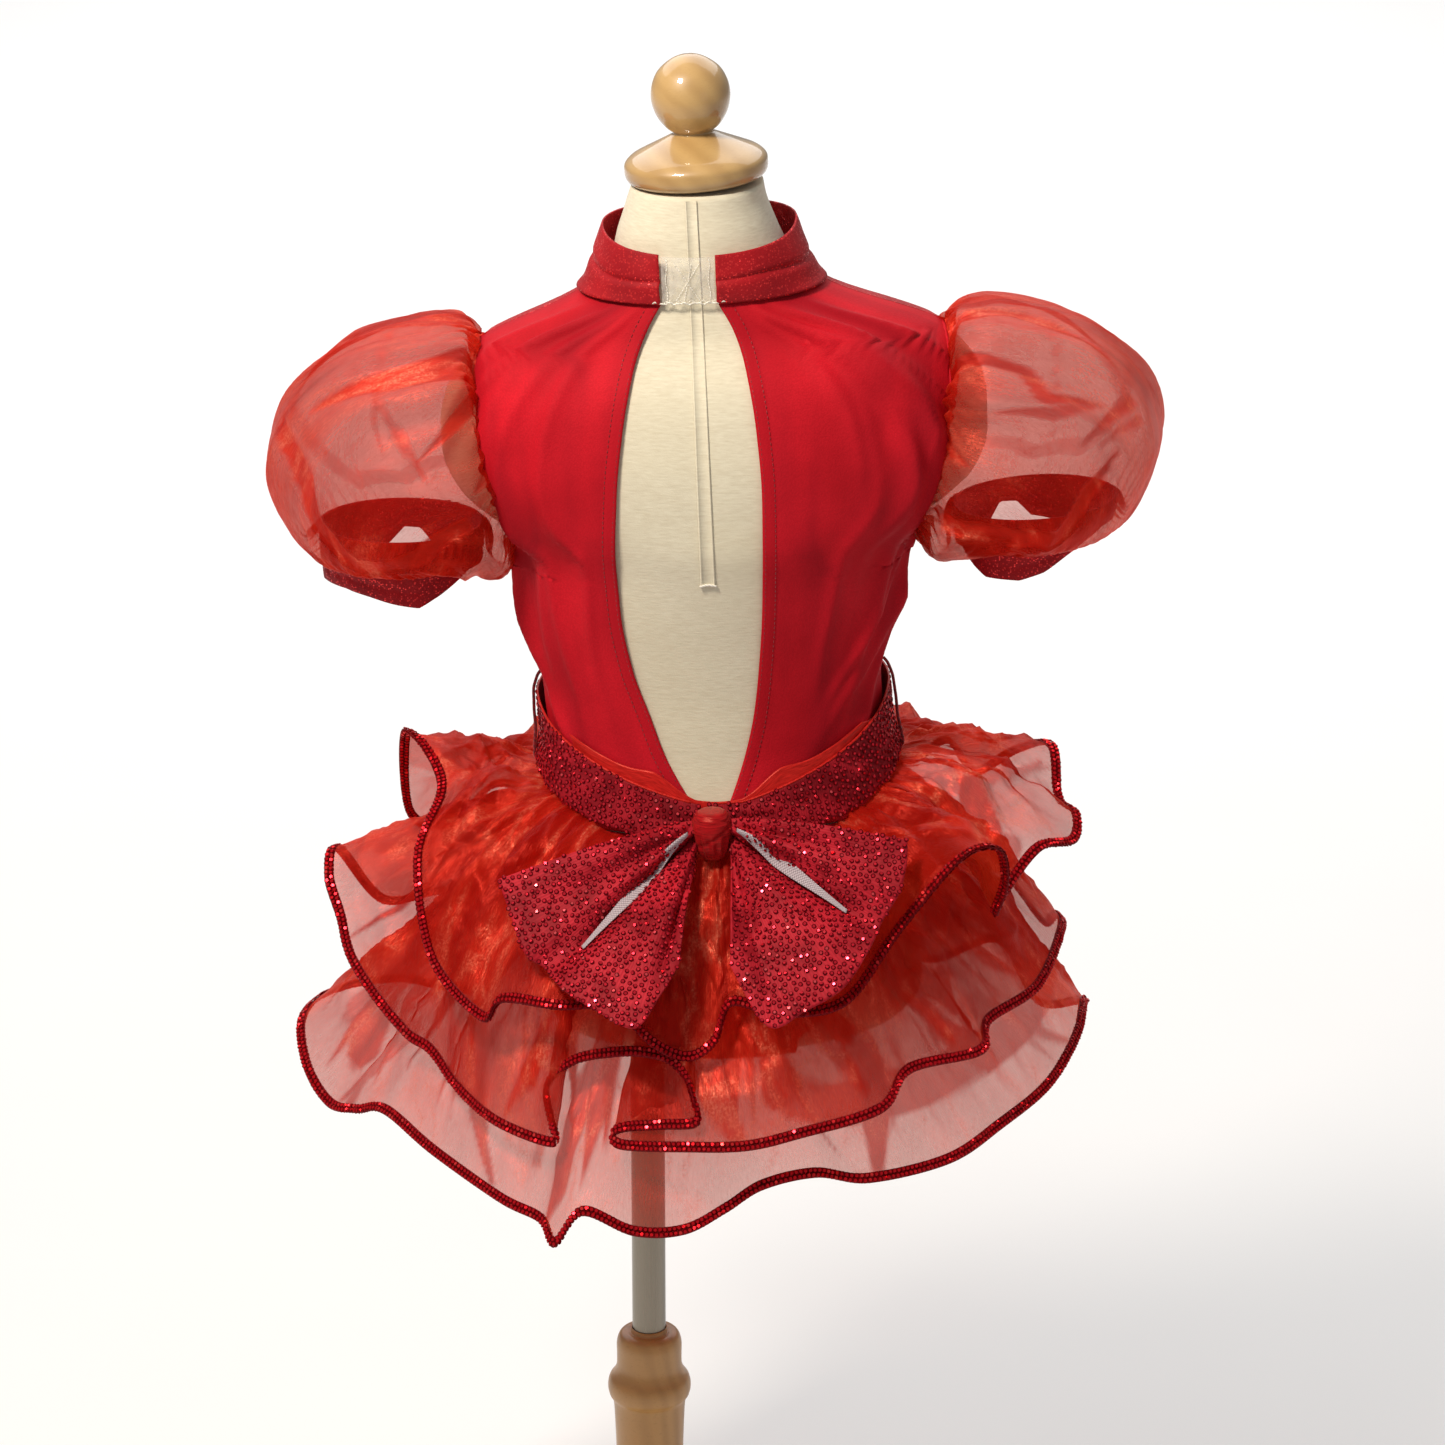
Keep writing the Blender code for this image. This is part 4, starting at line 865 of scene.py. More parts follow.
COLLAR = np.array([
    # z, half, back, front
    (252.3, 71.2, 51.4, 49.6), (256, 66.5, 51.8, 49.8), (261, 63, 51.8, 49.8),
    (270, 58.5, 51.4, 49.4), (280, 54.5, 50, 48)], float)
COLLAR_ENDS = (-23.0, 8.5)
COLLAR_RISE, COLLAR_SHIFT = 9.0, -0.8
COLLAR_FOOT, COLLAR_TALL, COLLAR_COLUMNS = 252.4, 27.6, 200


def collar_grid(levels, columns, first=None, last=None, off=0.0):
    """Rows of the collar band between its two ends, or between two given x at the back."""
    rows = []
    for z in levels:
        half, back, front = (column(COLLAR, z, c) for c in (1, 2, 3))
        ends = [math.degrees(math.asin(x / (half * (1 + SQUARE))))
                for x in (first or COLLAR_ENDS[0], last or COLLAR_ENDS[1])]
        if first is None:
            deg = np.linspace(ends[1], 360 + ends[0], columns)
        else:
            deg = np.linspace(ends[0], ends[1], columns)
        x, y = oval(half, back + off, front + off, deg)
        lift = COLLAR_RISE * np.minimum(1, 1 - np.cos(np.radians(deg)))
        share = (z - COLLAR[0, 0]) / (COLLAR[-1, 0] - COLLAR[0, 0])
        rows.append(np.stack([x + COLLAR_SHIFT, y, z + lift * share + 0 * x], -1))
    return np.array(rows)


levels = np.linspace(COLLAR_FOOT, 280, 26)
grid = collar_grid(levels, COLLAR_COLUMNS)
share = ((levels - COLLAR_FOOT) / COLLAR_TALL)[:, None]
turn = np.linspace(0, 2 * np.pi, COLLAR_COLUMNS)[None, :]
end = np.arange(COLLAR_COLUMNS)
end = np.minimum(end, end[::-1])[None, :]
crease = 1.7 * np.exp(-((share - 0.46 - 0.05 * np.sin(3 * turn)) / 0.06) ** 2)
puff = (0.9 * np.sin(np.pi * share) ** 0.7
        + 0.5 * np.sin(5 * turn + 4 * share) * np.sin(np.pi * share))
tuck = 1.2 * np.exp(-(end / 4.0) ** 2) * bell(share, 0.62, 0.16)
out = unit(grid * np.array([1, 1, 0]))
grid = grid + out * (0.9 + puff - crease - tuck)[..., None]
collar = cloth("collar_band", grid, glitter, thick=1.0)
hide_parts("collar")
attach(collar, "root")


# Nape tab: clear stretch tape across the gap of the collar, held by white thread that runs
# down both ends, crosses in the middle and frays a little along the lower edge.

clear_tape, tree = finish_of("clear_elastic_tape")
where = object_place(tree)
haze = noise(tree, where, 260.0, 3.0)
colour = blend_of(tree, "#F6F4F0", "#D6D0C4", haze)
cover = ranged(tree, haze, 0.3, 0.7, 0.15, 0.5)
bump = bumped(tree, haze, 0.4, 0.0006)
surface(tree, {
    "Base Color": colour, "Roughness": 0.25, "Alpha": cover, "Normal": bump})

tab_grid = collar_grid(np.linspace(253, 279, 16), 24,
                       COLLAR_ENDS[0] + 0.5, COLLAR_ENDS[1] - 0.5, 0.5)
tab = cloth("nape_tape", tab_grid, clear_tape)
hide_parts("nape_tab")
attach(tab, "root")


def tab_point(x, z):
    """A point just off the tab."""
    half, back = column(COLLAR, z, 1), column(COLLAR, z, 2)
    deg = math.degrees(math.asin(x / (half * (1 + SQUARE))))
    px, py = oval(half, back + 1.2, back, deg)
    return (float(px) + COLLAR_SHIFT, float(py), z)


rows = [[tab_point(x + 0.5 * math.sin(9 * s), 254 + 24 * s) for s in np.linspace(0, 1, 24)]
        for x in (-19.5, 5.0)]
rows += [[tab_point(a + (b - a) * s, 255 + 20 * s) for s in np.linspace(0, 1, 24)]
         for a, b in ((-14, -1), (-1, -14), (-9.5, -5))]
hem_row = [tab_point(-27 + 40 * s, 253.6 + 0.9 * math.sin(38 * s)) for s in np.linspace(0, 1, 90)]
for k, row in enumerate(rows + [hem_row]):
    spots, way, _ = even(row, 1.7)
    thread = repeated(f"nape_thread_{k + 1}", stitch_tree,
                      row_points(spots, np.tile((0.0, -1.0, 0.05), (len(spots), 1)), way),
                      white_thread, Radius=1.0 * MM, Height=0.34 * MM, Tilt=0.35, Seed=k)
frayed = tube("nape_frayed_edge", [np.add(tab_point(-28 + 42 * s, 253.0), (
    0, -0.5 - 0.4 * math.sin(60 * s), 0.8 * math.sin(47 * s) * math.cos(13 * s)))
    for s in np.linspace(0, 1, 140)], 0.5, white_thread, 6)
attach(frayed, "root")


# Puff sleeves: one layer of crisp polyester organza, gathered tightly into the armhole and
# again into the cuff. Where it is folded on itself two or three layers deepen the red.

def organza_finish(name):
    """Sheer organza: a net of glossy orange-red threads that lets pinkish light through.

    Folds and gathers, where cloth lies on cloth, cover more; broken streaks of painted highlight
    lie mostly on them.
    """
    mat, tree = finish_of(name)
    uv = cloth_place(tree)
    where = object_place(tree)
    folded = mark_on(tree, "folded")
    # Threads are 0.15 mm apart and can't be told apart here; their moire shows as 4 mm streaks,
    # which also carry a faint painted highlight
    threads = noise(tree, uv, 1.0, 4.0, (2400, 460, 1), Distortion=0.5)
    crinkle = put(tree, "ShaderNodeTexNoise", {"Vector": where, "Scale": 42.0, "Detail": 5.0,
                                               "Roughness": 0.6, "Distortion": 0.8},
                  noise_type="RIDGED_MULTIFRACTAL")
    broad = noise(tree, uv, 1.0, 2.0, (80, 20, 1), Distortion=0.6)
    bent = put(tree, "ShaderNodeTexNoise", {"Vector": where, "Scale": 34.0, "Detail": 3.0})
    grain = noise(tree, where, 620.0, 2.0)
    turned_away = put(tree, "ShaderNodeLayerWeight", {"Blend": 0.4}).outputs["Facing"]
    # Painted highlight: winding lines along crisp creases, broken up into glitter, are mixed in as
    # a brighter colour
    bend = put(tree, "ShaderNodeVectorMath", {0: bent.outputs["Color"], 1: (1.5, 1.5, 0)},
               operation="MULTIPLY")
    laid = put(tree, "ShaderNodeMapping", {"Vector": uv, "Scale": (92, 46, 1)})
    place = put(tree, "ShaderNodeVectorMath", {0: laid.outputs[0], 1: bend.outputs[0]},
                operation="ADD")
    cells = put(tree, "ShaderNodeTexVoronoi", {"Vector": place.outputs[0], "Scale": 1.0},
                feature="DISTANCE_TO_EDGE")
    crease = ranged(tree, cells.outputs["Distance"], 0.13, 0.0)
    glitter = ranged(tree, grain, 0.47, 0.62)
    streaks = ranged(tree, threads, 0.5, 0.64)
    patch = ranged(tree, broad, 0.52, 0.44)
    colour = blend_of(tree, "#DE2C1E", "#A8100E",
                      ranged(tree, broad, 0.42, 0.6))
    broken = blend_of(tree, ranged(tree, streaks, 0, 1, 0.2, 0.6), 1.0, glitter, "FLOAT")
    # Painted highlight: bright crease lines in patches, broken by glitter and streaks, strongest on
    # folded cloth
    painted_shine = times(tree, times(tree, crease, patch), broken)
    painted_shine = times(tree, painted_shine, ranged(tree, folded, 0, 0.7, 0.45, 1.0))
    # Painted highlight: faint bright streaks in the same patches
    faint_painted_streaks = times(tree, streaks, patch)
    colour = blend_of(tree, colour, "#F85838", ranged(tree, faint_painted_streaks, 0, 1, 0, 0.4))
    colour = blend_of(tree, colour, "#FF8466", painted_shine)
    cover = ranged(tree, turned_away, 0.0, 1.0, 0.36, 0.86)
    uneven = ranged(tree, threads, 0.3, 0.7, -0.07, 0.07)
    cover = put(tree, "ShaderNodeMath", {0: cover, 1: uneven}, operation="ADD").outputs[0]
    cover = blend_of(tree, cover, 0.95, folded, "FLOAT")
    cover = blend_of(tree, cover, 0.9, ranged(tree, painted_shine, 0, 1, 0, 0.7), "FLOAT")
    height = blend_of(tree, crinkle.outputs["Fac"], threads, 0.4, "FLOAT")
    bump = bumped(tree, height, 0.6, 0.0028)
    gloss = put(tree, "ShaderNodeBsdfPrincipled", {
        "Base Color": colour, "Roughness": 0.33, "Metallic": 0.3, "Specular IOR Level": 0.6,
        "Specular Tint": linear("#FFA080"), "Sheen Weight": 0.2, "Sheen Roughness": 0.3,
        "Sheen Tint": linear("#FF8A66"), "Normal": bump})
    glow = put(tree, "ShaderNodeBsdfTranslucent", {"Color": linear("#F83C18"), "Normal": bump})
    lit = put(tree, "ShaderNodeMixShader", {0: 0.36, 1: gloss.outputs[0], 2: glow.outputs[0]})
    clear = put(tree, "ShaderNodeBsdfTransparent", {"Color": linear("#EDD0C9")})
    sheer = put(tree, "ShaderNodeMixShader", {0: cover, 1: clear.outputs[0], 2: lit.outputs[0]})
    put(tree, "ShaderNodeOutputMaterial", {"Surface": sheer.outputs[0]})
    return mat


organza = organza_finish("red_polyester_organza")

SHOULDER_SHIFT = 3.0
SLEEVE_TILT = {-1: -0.01, 1: 0.04}
SLEEVE = np.array([
    # out_x, out_z, in_x, in_z, depth, square, hang
    (144, 232, 120.5, 88, 60, 0.22, 0), (170, 234, 124.5, 83, 74, 0.14, 0),
    (214, 221, 128.5, 81, 81, 0.07, 0), (248, 193, 132, 82, 82, 0, 1),
    (262, 158, 134.5, 86, 80, 0, 2), (257, 127, 135, 93, 74, 0, 3),
    (245, 106, 134.5, 101, 62, 0, 5), (235.6, 115, 138.4, 112, 44.6, 0, 0)], float)
SLEEVE_CREASES = np.array([
    # side, round_deg, end_deg, from_ring, to_ring, width_deg, depth
    (-1, 56, 46, 0.4, 4.2, 7, 6), (-1, 100, 92, 0.2, 4.0, 8, 7), (-1, 20, 26, 2.0, 6.8, 8, 4),
    (-1, 322, 330, 0.4, 5.0, 9, 8), (-1, 250, 244, 0.2, 4.4, 8, 6), (-1, 78, 60, 2.2, 5.8, 5, 3),
    (-1, 10, -14, 1.2, 5.4, 4, 3), (-1, 120, 150, 1.5, 6.0, 5, 3), (-1, 190, 200, 1.0, 6.0, 6, 4),
    (1, 30, 34, 0.4, 5.6, 9, 8), (1, 66, 60, 0.3, 4.4, 8, 7), (1, 92, 98, 2.6, 6.6, 8, 5),
    (1, 318, 310, 0.4, 5.4, 9, 8), (1, 262, 270, 0.2, 4.2, 8, 6), (1, 80, 44, 0.1, 5.4, 4, 3),
    (1, 8, -12, 2.0, 6.2, 4, 3.5), (1, 118, 104, 3.0, 6.8, 5, 3),
    (1, 180, 192, 1.0, 6.0, 6, 4)], float)
SLEEVE_FOLDS = [
    # side, weight, (ring, degrees round, half width in mm) along each folded strip
    (-1, 0.95, [(0.2, 34, 18), (1.3, 40, 12), (2.3, 40, 8), (3.7, 30, 0.5)]),
    (-1, 0.8, [(0.7, 58, 7), (2.5, 76, 0.5)]),
    (-1, 0.6, [(2.7, 50, 0.3), (2.65, 68, 2.0), (2.6, 84, 0.3)]),
    (-1, 0.4, [(2.4, 6, 0.6), (2.7, 54, 0.6)]),
    (-1, 0.9, [(4.2, 20, 2.5), (4.5, 50, 5), (6.2, 80, 8), (5.6, 100, 7), (4.2, 112, 6),
                (2.2, 110, 4)]),
    (-1, 0.6, [(0.4, 4, 5), (2.2, -4, 3), (3.8, -8, 0.5)]),
    (-1, 0.7, [(0.3, 88, 6), (1.8, 96, 0.5)]),
    (-1, 0.9, [(0.2, 320, 15), (2.0, 322, 8), (3.8, 332, 0.5)]),
    (-1, 0.7, [(0.6, 288, 7), (2.6, 268, 0.5)]),
    (-1, 0.35, [(4.4, 332, 3), (5.8, 290, 5), (5.0, 262, 5), (3.0, 250, 3)]),
    (-1, 0.5, [(3.2, 300, 2), (4.6, 275, 0.5)]), (-1, 0.6, [(0.3, 210, 8), (3.0, 200, 0.5)]),
    (1, 0.9, [(0.2, 17, 8), (2.1, 14, 5), (3.4, 28, 0.5)]),
    (1, 0.85, [(0.2, 52, 9), (1.7, 46, 4), (2.4, 47, 3), (2.8, 57, 3), (3.7, 44, 0.5)]),
    (1, 0.7, [(2.2, 68, 0.5), (3.0, 62, 3), (3.7, 44, 0.5)]),
    (1, 0.7, [(3.7, 66, 0.5), (4.0, 36, 2.5)]), (1, 0.6, [(4.0, 60, 0.5), (4.3, 37, 2)]),
    (1, 0.4, [(2.6, 30, 0.6), (3.2, 69, 0.6)]), (1, 0.7, [(0.3, 84, 7), (1.9, 92, 0.5)]),
    (1, 0.9, [(0.9, 118, 5), (2.3, 121, 6), (4.3, 114, 7), (5.4, 94, 8), (4.6, 75, 4),
              (4.4, 52, 1)]),
    (1, 0.9, [(0.2, 326, 14), (1.8, 318, 8), (3.6, 326, 0.5)]),
    (1, 0.7, [(0.6, 280, 7), (2.4, 262, 0.5)]),
    (1, 0.35, [(4.2, 336, 3), (5.6, 292, 5), (5.0, 264, 5), (3.0, 248, 3)]),
    (1, 0.6, [(0.3, 214, 8), (3.0, 206, 0.5)])]
SLEEVE_COLUMNS, SLEEVE_ROWS = 360, 84


def ripple(turn, count, seed):
    """Uneven waves round a closed line: several near counts with seeded starts."""
    rng = np.random.default_rng(seed)
    total = np.zeros_like(turn)
    for _ in range(5):
        total = total + np.sin(turn * int(rng.integers(int(count * 0.8), int(count * 1.25)))
                               + rng.uniform(0, 6.28))
    return total / 2.3


def lumps(turn, v, around, down, seed):
    """Soft random hills from -1 to 1 that close round the piece."""
    table = np.random.default_rng(seed).uniform(-1, 1, (around, down + 2))
    x, y = np.broadcast_arrays(turn / (2 * np.pi) * around, np.asarray(v) * down)
    i, j = np.floor(x).astype(int), np.clip(np.floor(y).astype(int), 0, down)
    fx, fy = x - i, y - j
    fx, fy = fx * fx * (3 - 2 * fx), fy * fy * (3 - 2 * fy)
    low = table[i % around, j] * (1 - fx) + table[(i + 1) % around, j] * fx
    high = table[i % around, j + 1] * (1 - fx) + table[(i + 1) % around, j + 1] * fx
    return low * (1 - fy) + high * fy


def strip_share(down, round_deg, line, mm_down, mm_deg, soft=1.8):
    """1 inside a folded strip, 0 outside it, with crisp sides; the strip follows a line."""
    inside = np.zeros(np.broadcast(down, round_deg).shape)
    for (d0, a0, w0), (d1, a1, w1) in zip(line, line[1:]):
        x = (down - d0) * mm_down
        y = ((round_deg - a0 + 180) % 360 - 180) * mm_deg
        dx, dy = (d1 - d0) * mm_down, (a1 - a0) * mm_deg
        t = np.clip((x * dx + y * dy) / (dx * dx + dy * dy), 0, 1)
        gap = np.hypot(x - dx * t, y - dy * t)
        inside = np.maximum(inside, np.clip((w0 + (w1 - w0) * t - gap) / soft + 0.5, 0, 1))
    return inside


def grid_normals(grid, ring=True):
    if ring:
        across = np.roll(grid, -1, 1) - np.roll(grid, 1, 1)
    else:
        across = np.gradient(grid, axis=1)
    return unit(np.cross(across, np.gradient(grid, axis=0)))


def armhole_line(side, columns):
    """The gathered edge just outside the armhole seam, from the shoulder round by the back."""
    levels = ARMHOLE[:, 0]
    heights = np.concatenate([levels[::-1], levels[1:]])
    place = np.linspace(0, len(heights) - 1, columns, endpoint=False)
    z = np.interp(place, np.arange(len(heights)), heights)
    deg = panel_limit(np.clip(z, ARM_FOOT + 0.5, ARM_TOP))
    deg = np.where(place > len(levels) - 1, 180 - deg, deg)
    p = on_body(z, deg, panel_air(z))
    shift = column(BODY, z, 4)
    p[:, 0] = shift + side * (p[:, 0] - shift + 1.3)
    return p


for side, name, node in ((-1, "puff_sleeve_left", "sleeve_left"),
                         (1, "puff_sleeve_right", "sleeve_right")):
    turn = 2 * np.pi * np.arange(SLEEVE_COLUMNS) / SLEEVE_COLUMNS
    c, s = np.cos(turn), np.sin(turn)
    rings = [armhole_line(side, SLEEVE_COLUMNS)]
    for at, (out_x, out_z, in_x, in_z, depth, square, hang) in enumerate(SLEEVE):
        mid = np.array([(out_x + in_x) / 2, 0, (out_z + in_z) / 2])
        arm = np.array([out_x - in_x, 0, out_z - in_z]) / 2
        p = mid + arm * (c * (1 + square * s * s * np.abs(c)))[:, None]
        p[:, 1] -= depth * s * (1 + square * c * c)
        p[:, 2] -= hang * s * s
        if at < len(SLEEVE) - 1:
            p[:, 0] += SLEEVE_TILT[side] * (p[:, 2] - 165) * np.maximum(c, 0)
        p[:, 0] = SHOULDER_SHIFT + side * p[:, 0]
        rings.append(p)
    rings = np.array(rings)
    place = np.linspace(0, len(rings) - 1, SLEEVE_ROWS)
    grid = []
    for r in place:
        i = min(int(r), len(rings) - 2)
        grid.append(curve_at(rings, i, r - i))
    grid = np.array(grid)
    out = grid_normals(grid) * (-side)
    r = place[:, None]
    deg = np.degrees(turn)[None, :]
    push = np.zeros(grid.shape[:2])
    folded = np.zeros(grid.shape[:2])
    for owner, at, to, first, last, width, deep in SLEEVE_CREASES:
        if owner == side:
            share = np.clip((r - first) / (last - first), 0, 1)
            gap = (deg - (at + (to - at) * share) + 180) % 360 - 180
            trough = np.exp(-np.abs(gap / width) ** 1.4) - 0.4 * bell(gap, 1.6 * width, 0.7 * width)
            push -= deep * np.sin(np.pi * share) * trough
    for owner, weight, line in SLEEVE_FOLDS:
        if owner == side:
            inside = strip_share(r, deg, line, 20.0, 1.3, 1.4)
            push += 2.2 * weight * inside
            folded = np.maximum(folded, weight * inside)
    lean = turn[None, :] + 0.10 * np.sin(2.2 * r)
    near_arm = np.clip(r / 0.35, 0, 1) * np.exp(-np.maximum(r - 0.4, 0) / 0.55)
    near_cuff = np.clip((8 - r) / 0.3, 0, 1) * np.exp(-np.maximum(7.4 - r, 0) / 0.7)
    push += (2.7 * near_arm * ripple(lean, 46, 3 + side)
             + 1.7 * near_cuff * ripple(lean, 44, 8 + side))
    middle = np.sin(np.pi * np.clip(r / 8, 0, 1)) ** 0.6
    push += middle * (1.1 * ripple(lean, 20, 21 + side) * bell(r, 2.0, 1.6)
                      + 1.6 * (0.5 - np.abs(lumps(turn[None, :], r / 8, 13, 5, 51 + side)))
                      + 0.7 * (0.5 - np.abs(lumps(turn[None, :], r / 8, 29, 10, 57 + side))))
    gathers = np.clip((ripple(lean, 46, 3 + side) - 0.1) * 2.2, 0, 1)
    folded = np.maximum(folded, 0.85 * gathers * np.clip(1.25 - r / 0.9, 0, 1))
    folded = np.maximum(folded, 0.9 * np.clip(1.2 - r / 0.3, 0, 1))
    folded = np.maximum(folded, 0.4 * np.clip(1 - (8 - r) / 0.8, 0, 1))
    folded = np.clip(folded, 0, 1)
    push[0], push[-1] = 0.0, 0.0
    grid = grid + out * push[..., None]
    if side > 0:
        grid, folded = grid[::-1], folded[::-1]
    seam_path = armhole_line(side, 150)
    seam_path[:, 0] -= side * 0.5
    seam = tube(name + "_seam", seam_path, 1.25, mesh_red, 8, ring=True)
    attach(seam, "root")
    sleeve = cloth(name, grid, organza, ring=True, marks={"folded": folded})
    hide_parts(node)
    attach(sleeve, "root")


# Cuffs: bands of the glitter cloth below the puffs, folded up at their lower edge, standing
# stiffly enough to bend in flats like a soft polygon.

CUFF_X, CUFF_HALF = 187.0, (47.0, 43.0)
CUFF_EDGE = {
    # side: (degrees round, height) of the lower edge's corners
    -1: [(0, 84), (46, 83), (68, 80), (86, 76), (103, 72.5), (120, 78.7), (147, 89.4), (180, 90),
         (238, 82), (251, 86), (260, 95.5), (272, 96.5), (284, 87), (315, 82), (360, 84)],
    1: [(0, 103), (37, 103), (55, 98), (71, 90), (87, 81), (105, 76), (131, 76.4), (143, 81.4),
        (160, 89.7), (222, 84), (236, 88), (246, 99.5), (260, 98.5), (270, 89), (292, 86),
        (325, 94), (360, 103)],
}
CUFF_TOP = (116.0, 112.0)

for side, name, node in ((-1, "cuff_band_left", "cuff_left"), (1, "cuff_band_right", "cuff_right")):
    turn = 2 * np.pi * np.arange(160) / 160
    c, s = np.cos(turn), np.sin(turn)
    corners = np.array(CUFF_EDGE[side], float)
    low = np.interp(np.degrees(turn), corners[:, 0], corners[:, 1])
    high = (CUFF_TOP[0] + CUFF_TOP[1]) / 2 + (CUFF_TOP[0] - CUFF_TOP[1]) / 2 * c - 0.3
    grid = []
    for share in np.linspace(0, 1, 22):
        swell = 1 - (1 - share) * 0.015
        flats = 1 + 0.016 * (1 - share) * (1 - 2 * np.abs(np.sin(2.5 * turn + 0.7 * side)))
        dent = (1 - 0.022 * math.exp(-((share - 0.22) / 0.05) ** 2)
                + 0.012 * math.sin(math.pi * share))
        ruck = 1 + 0.006 * ripple(turn + share, 26, 5) * math.sin(math.pi * share)
        size = swell * flats * dent * ruck
        grid.append(np.stack([SHOULDER_SHIFT + side * (CUFF_X + CUFF_HALF[0] * size * c),
                              -CUFF_HALF[1] * size * s, low + (high - low) * share], -1))
    grid = np.array(grid)
    cuff = cloth(name, grid[::-1] if side > 0 else grid, glitter, ring=True, thick=CLOTH)
    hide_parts(node)
    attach(cuff, "root")


# Skirt: three ruffles of the same organza, each a long strip gathered to the waist. Its hem
# carries a narrow woven tape with two rows of small sequins, stiff enough to hold big waves.

TIER_SEAM = [
    # side_z, back_z, off_body, drop_power, side_lift, back_sag
    (-44, -69, 4.2, 1.5, 2, 8),
    (-74, -94, 4.2, 1.15, 2, 0),
    (-104, -120, 4.2, 0.9, 0, 0),
]
HEM_TOP = [
    # deg, reach, z
    (0, 165, -134), (6, 168, -136), (13, 180, -137), (22, 186, -130), (34, 180, -97),
    (45, 194, -59), (53, 200, -61), (56, 198, -86), (58, 186, -111), (64, 183, -106),
    (72, 196, -86), (80, 212, -91), (85, 213, -81), (89, 203, -76), (96, 202, -51),
    (108, 190, -68), (119, 178, -92), (131, 186, -84), (143, 190, -108), (155, 184, -88),
    (167, 190, -114), (180, 184, -92), (193, 190, -116), (206, 184, -94), (219, 190, -116),
    (232, 186, -100), (243, 196, -116), (255, 203, -92), (267, 192, -22), (280, 172, -42),
    (292, 197, -72), (301, 204, -124), (315, 204, -146), (319, 200, -132), (330, 197, -129),
    (338, 180, -133), (346, 184, -151), (352, 180, -161), (357, 175, -153)]
HEM_MIDDLE = [
    # deg, reach, z
    (11, 199, -204), (25, 203, -195), (33, 190, -182), (48, 197, -184), (55, 186, -176),
    (70, 196, -172), (87, 203, -159), (98, 203, -166), (110, 208, -188), (123, 203, -168),
    (137, 210, -192), (151, 204, -170), (165, 210, -194), (180, 204, -172), (195, 210, -194),
    (210, 206, -170), (225, 214, -190), (240, 214, -168), (254, 226, -154), (267, 239, -98),
    (272, 243, -108), (276, 237, -128), (280, 233, -148), (287, 223, -165), (294, 212, -181),
    (299, 205, -186), (308, 205, -200), (319, 210, -207), (329.5, 207, -212), (328, 200, -202),
    (325.5, 192, -187), (327, 186, -177), (331, 182, -168), (337, 181, -162), (343, 181, -159),
    (348.5, 183, -161), (352, 187, -170), (353.5, 192, -183), (354, 197, -194), (348, 195, -197.5),
    (341, 193, -202), (338.7, 194, -207), (341, 198, -211), (352, 199.5, -209), (2, 199, -209)]
HEM_LOW = [
    # deg, reach, z
    (5, 179, -244), (15, 181, -239), (23, 198, -240), (38, 203, -240), (52, 200, -236),
    (67, 205, -231), (80, 212, -220), (90, 216, -214), (102, 222, -232), (116, 214, -252),
    (130, 222, -230), (144, 212, -254), (158, 222, -232), (172, 212, -256), (186, 222, -234),
    (200, 214, -256), (214, 226, -234), (228, 222, -254), (243, 240, -228), (258, 256, -210),
    (268, 267, -208), (275, 264, -226), (280, 252, -243), (285, 238, -240), (291, 226, -232),
    (304, 217, -241), (320, 215, -253), (328, 216, -258), (332, 226, -266), (335, 212, -250),
    (343, 205, -262), (351, 197, -263), (358, 187, -254)]


def hem_line(rows, columns):
    """Even points along a smooth closed line through the hem rows, with their waist angles."""
    rows = np.array(rows, float)
    a = np.radians(rows[:, 0])
    pts = np.stack([rows[:, 1] * np.sin(a), -rows[:, 1] * np.cos(a), rows[:, 2]], -1)
    roots = np.sort(np.where(rows[:, 0] < 358, rows[:, 0], rows[:, 0] - 360))
    count = len(pts)
    fine, angle = [], []
    for i in range(count):
        after = roots[(i + 1) % count] + (360 if i == count - 1 else 0)
        for t in np.arange(24) / 24:
            fine.append(curve_at(pts, i, t, closed=True))
            angle.append(roots[i] + (after - roots[i]) * t)
    fine = np.array(fine + fine[:1])
    angle = np.array(angle + [angle[0] + 360])
    run = np.concatenate([[0], np.cumsum(np.linalg.norm(np.diff(fine, axis=0), axis=1))])
    at = np.linspace(0, run[-1], columns, endpoint=False)
    return along(at, run, fine), np.interp(at, run, angle)


def sequin_film(name, face, rim, painted_glint):
    """Small cupped discs of coloured polyester film: a bright flat, a sloping rim painted darker as
    shade, and a few discs painted brighter as glints.
    """
    mat, tree = finish_of(name)
    edge = mark_on(tree, "rim")
    tone = mark_on(tree, "tone")
    where = object_place(tree)
    scuff = noise(tree, where, 900.0)
    # Painted glint: the few discs with the highest random tone get a brighter colour
    flat = blend_of(tree, face, painted_glint, ranged(tree, tone, 0.9, 1.0, 0, 0.8))
    # Painted shade: the sloping rim is darkened
    colour = blend_of(tree, flat, rim, ranged(tree, edge, 0, 1, 0, 0.9))
    rough = ranged(tree, scuff, 0.3, 0.7, 0.12, 0.24)
    surface(tree, {
        "Base Color": colour, "Roughness": rough, "Metallic": 0.6,
        "Specular Tint": linear("#FF5048"), "Specular IOR Level": 0.4})
    return mat


# Colours: face, painted shade of the rim, painted glint
trim_film = sequin_film("dark_red_sequin_film", "#D01C26", "#6E0A10", "#FF4A48")
trim_tree = repeat_tree("sequin_rows", "cup")

tape_mat, tree = finish_of("dark_red_woven_tape")
uv = cloth_place(tree)
weave = put(tree, "ShaderNodeTexChecker", {"Vector": uv, "Scale": UV_UNIT / 0.8})
colour = blend_of(tree, "#8E0E18", "#620810", weave.outputs["Fac"])
surface(tree, {"Base Color": colour, "Roughness": 0.6,
                                                "Specular IOR Level": 0.15})

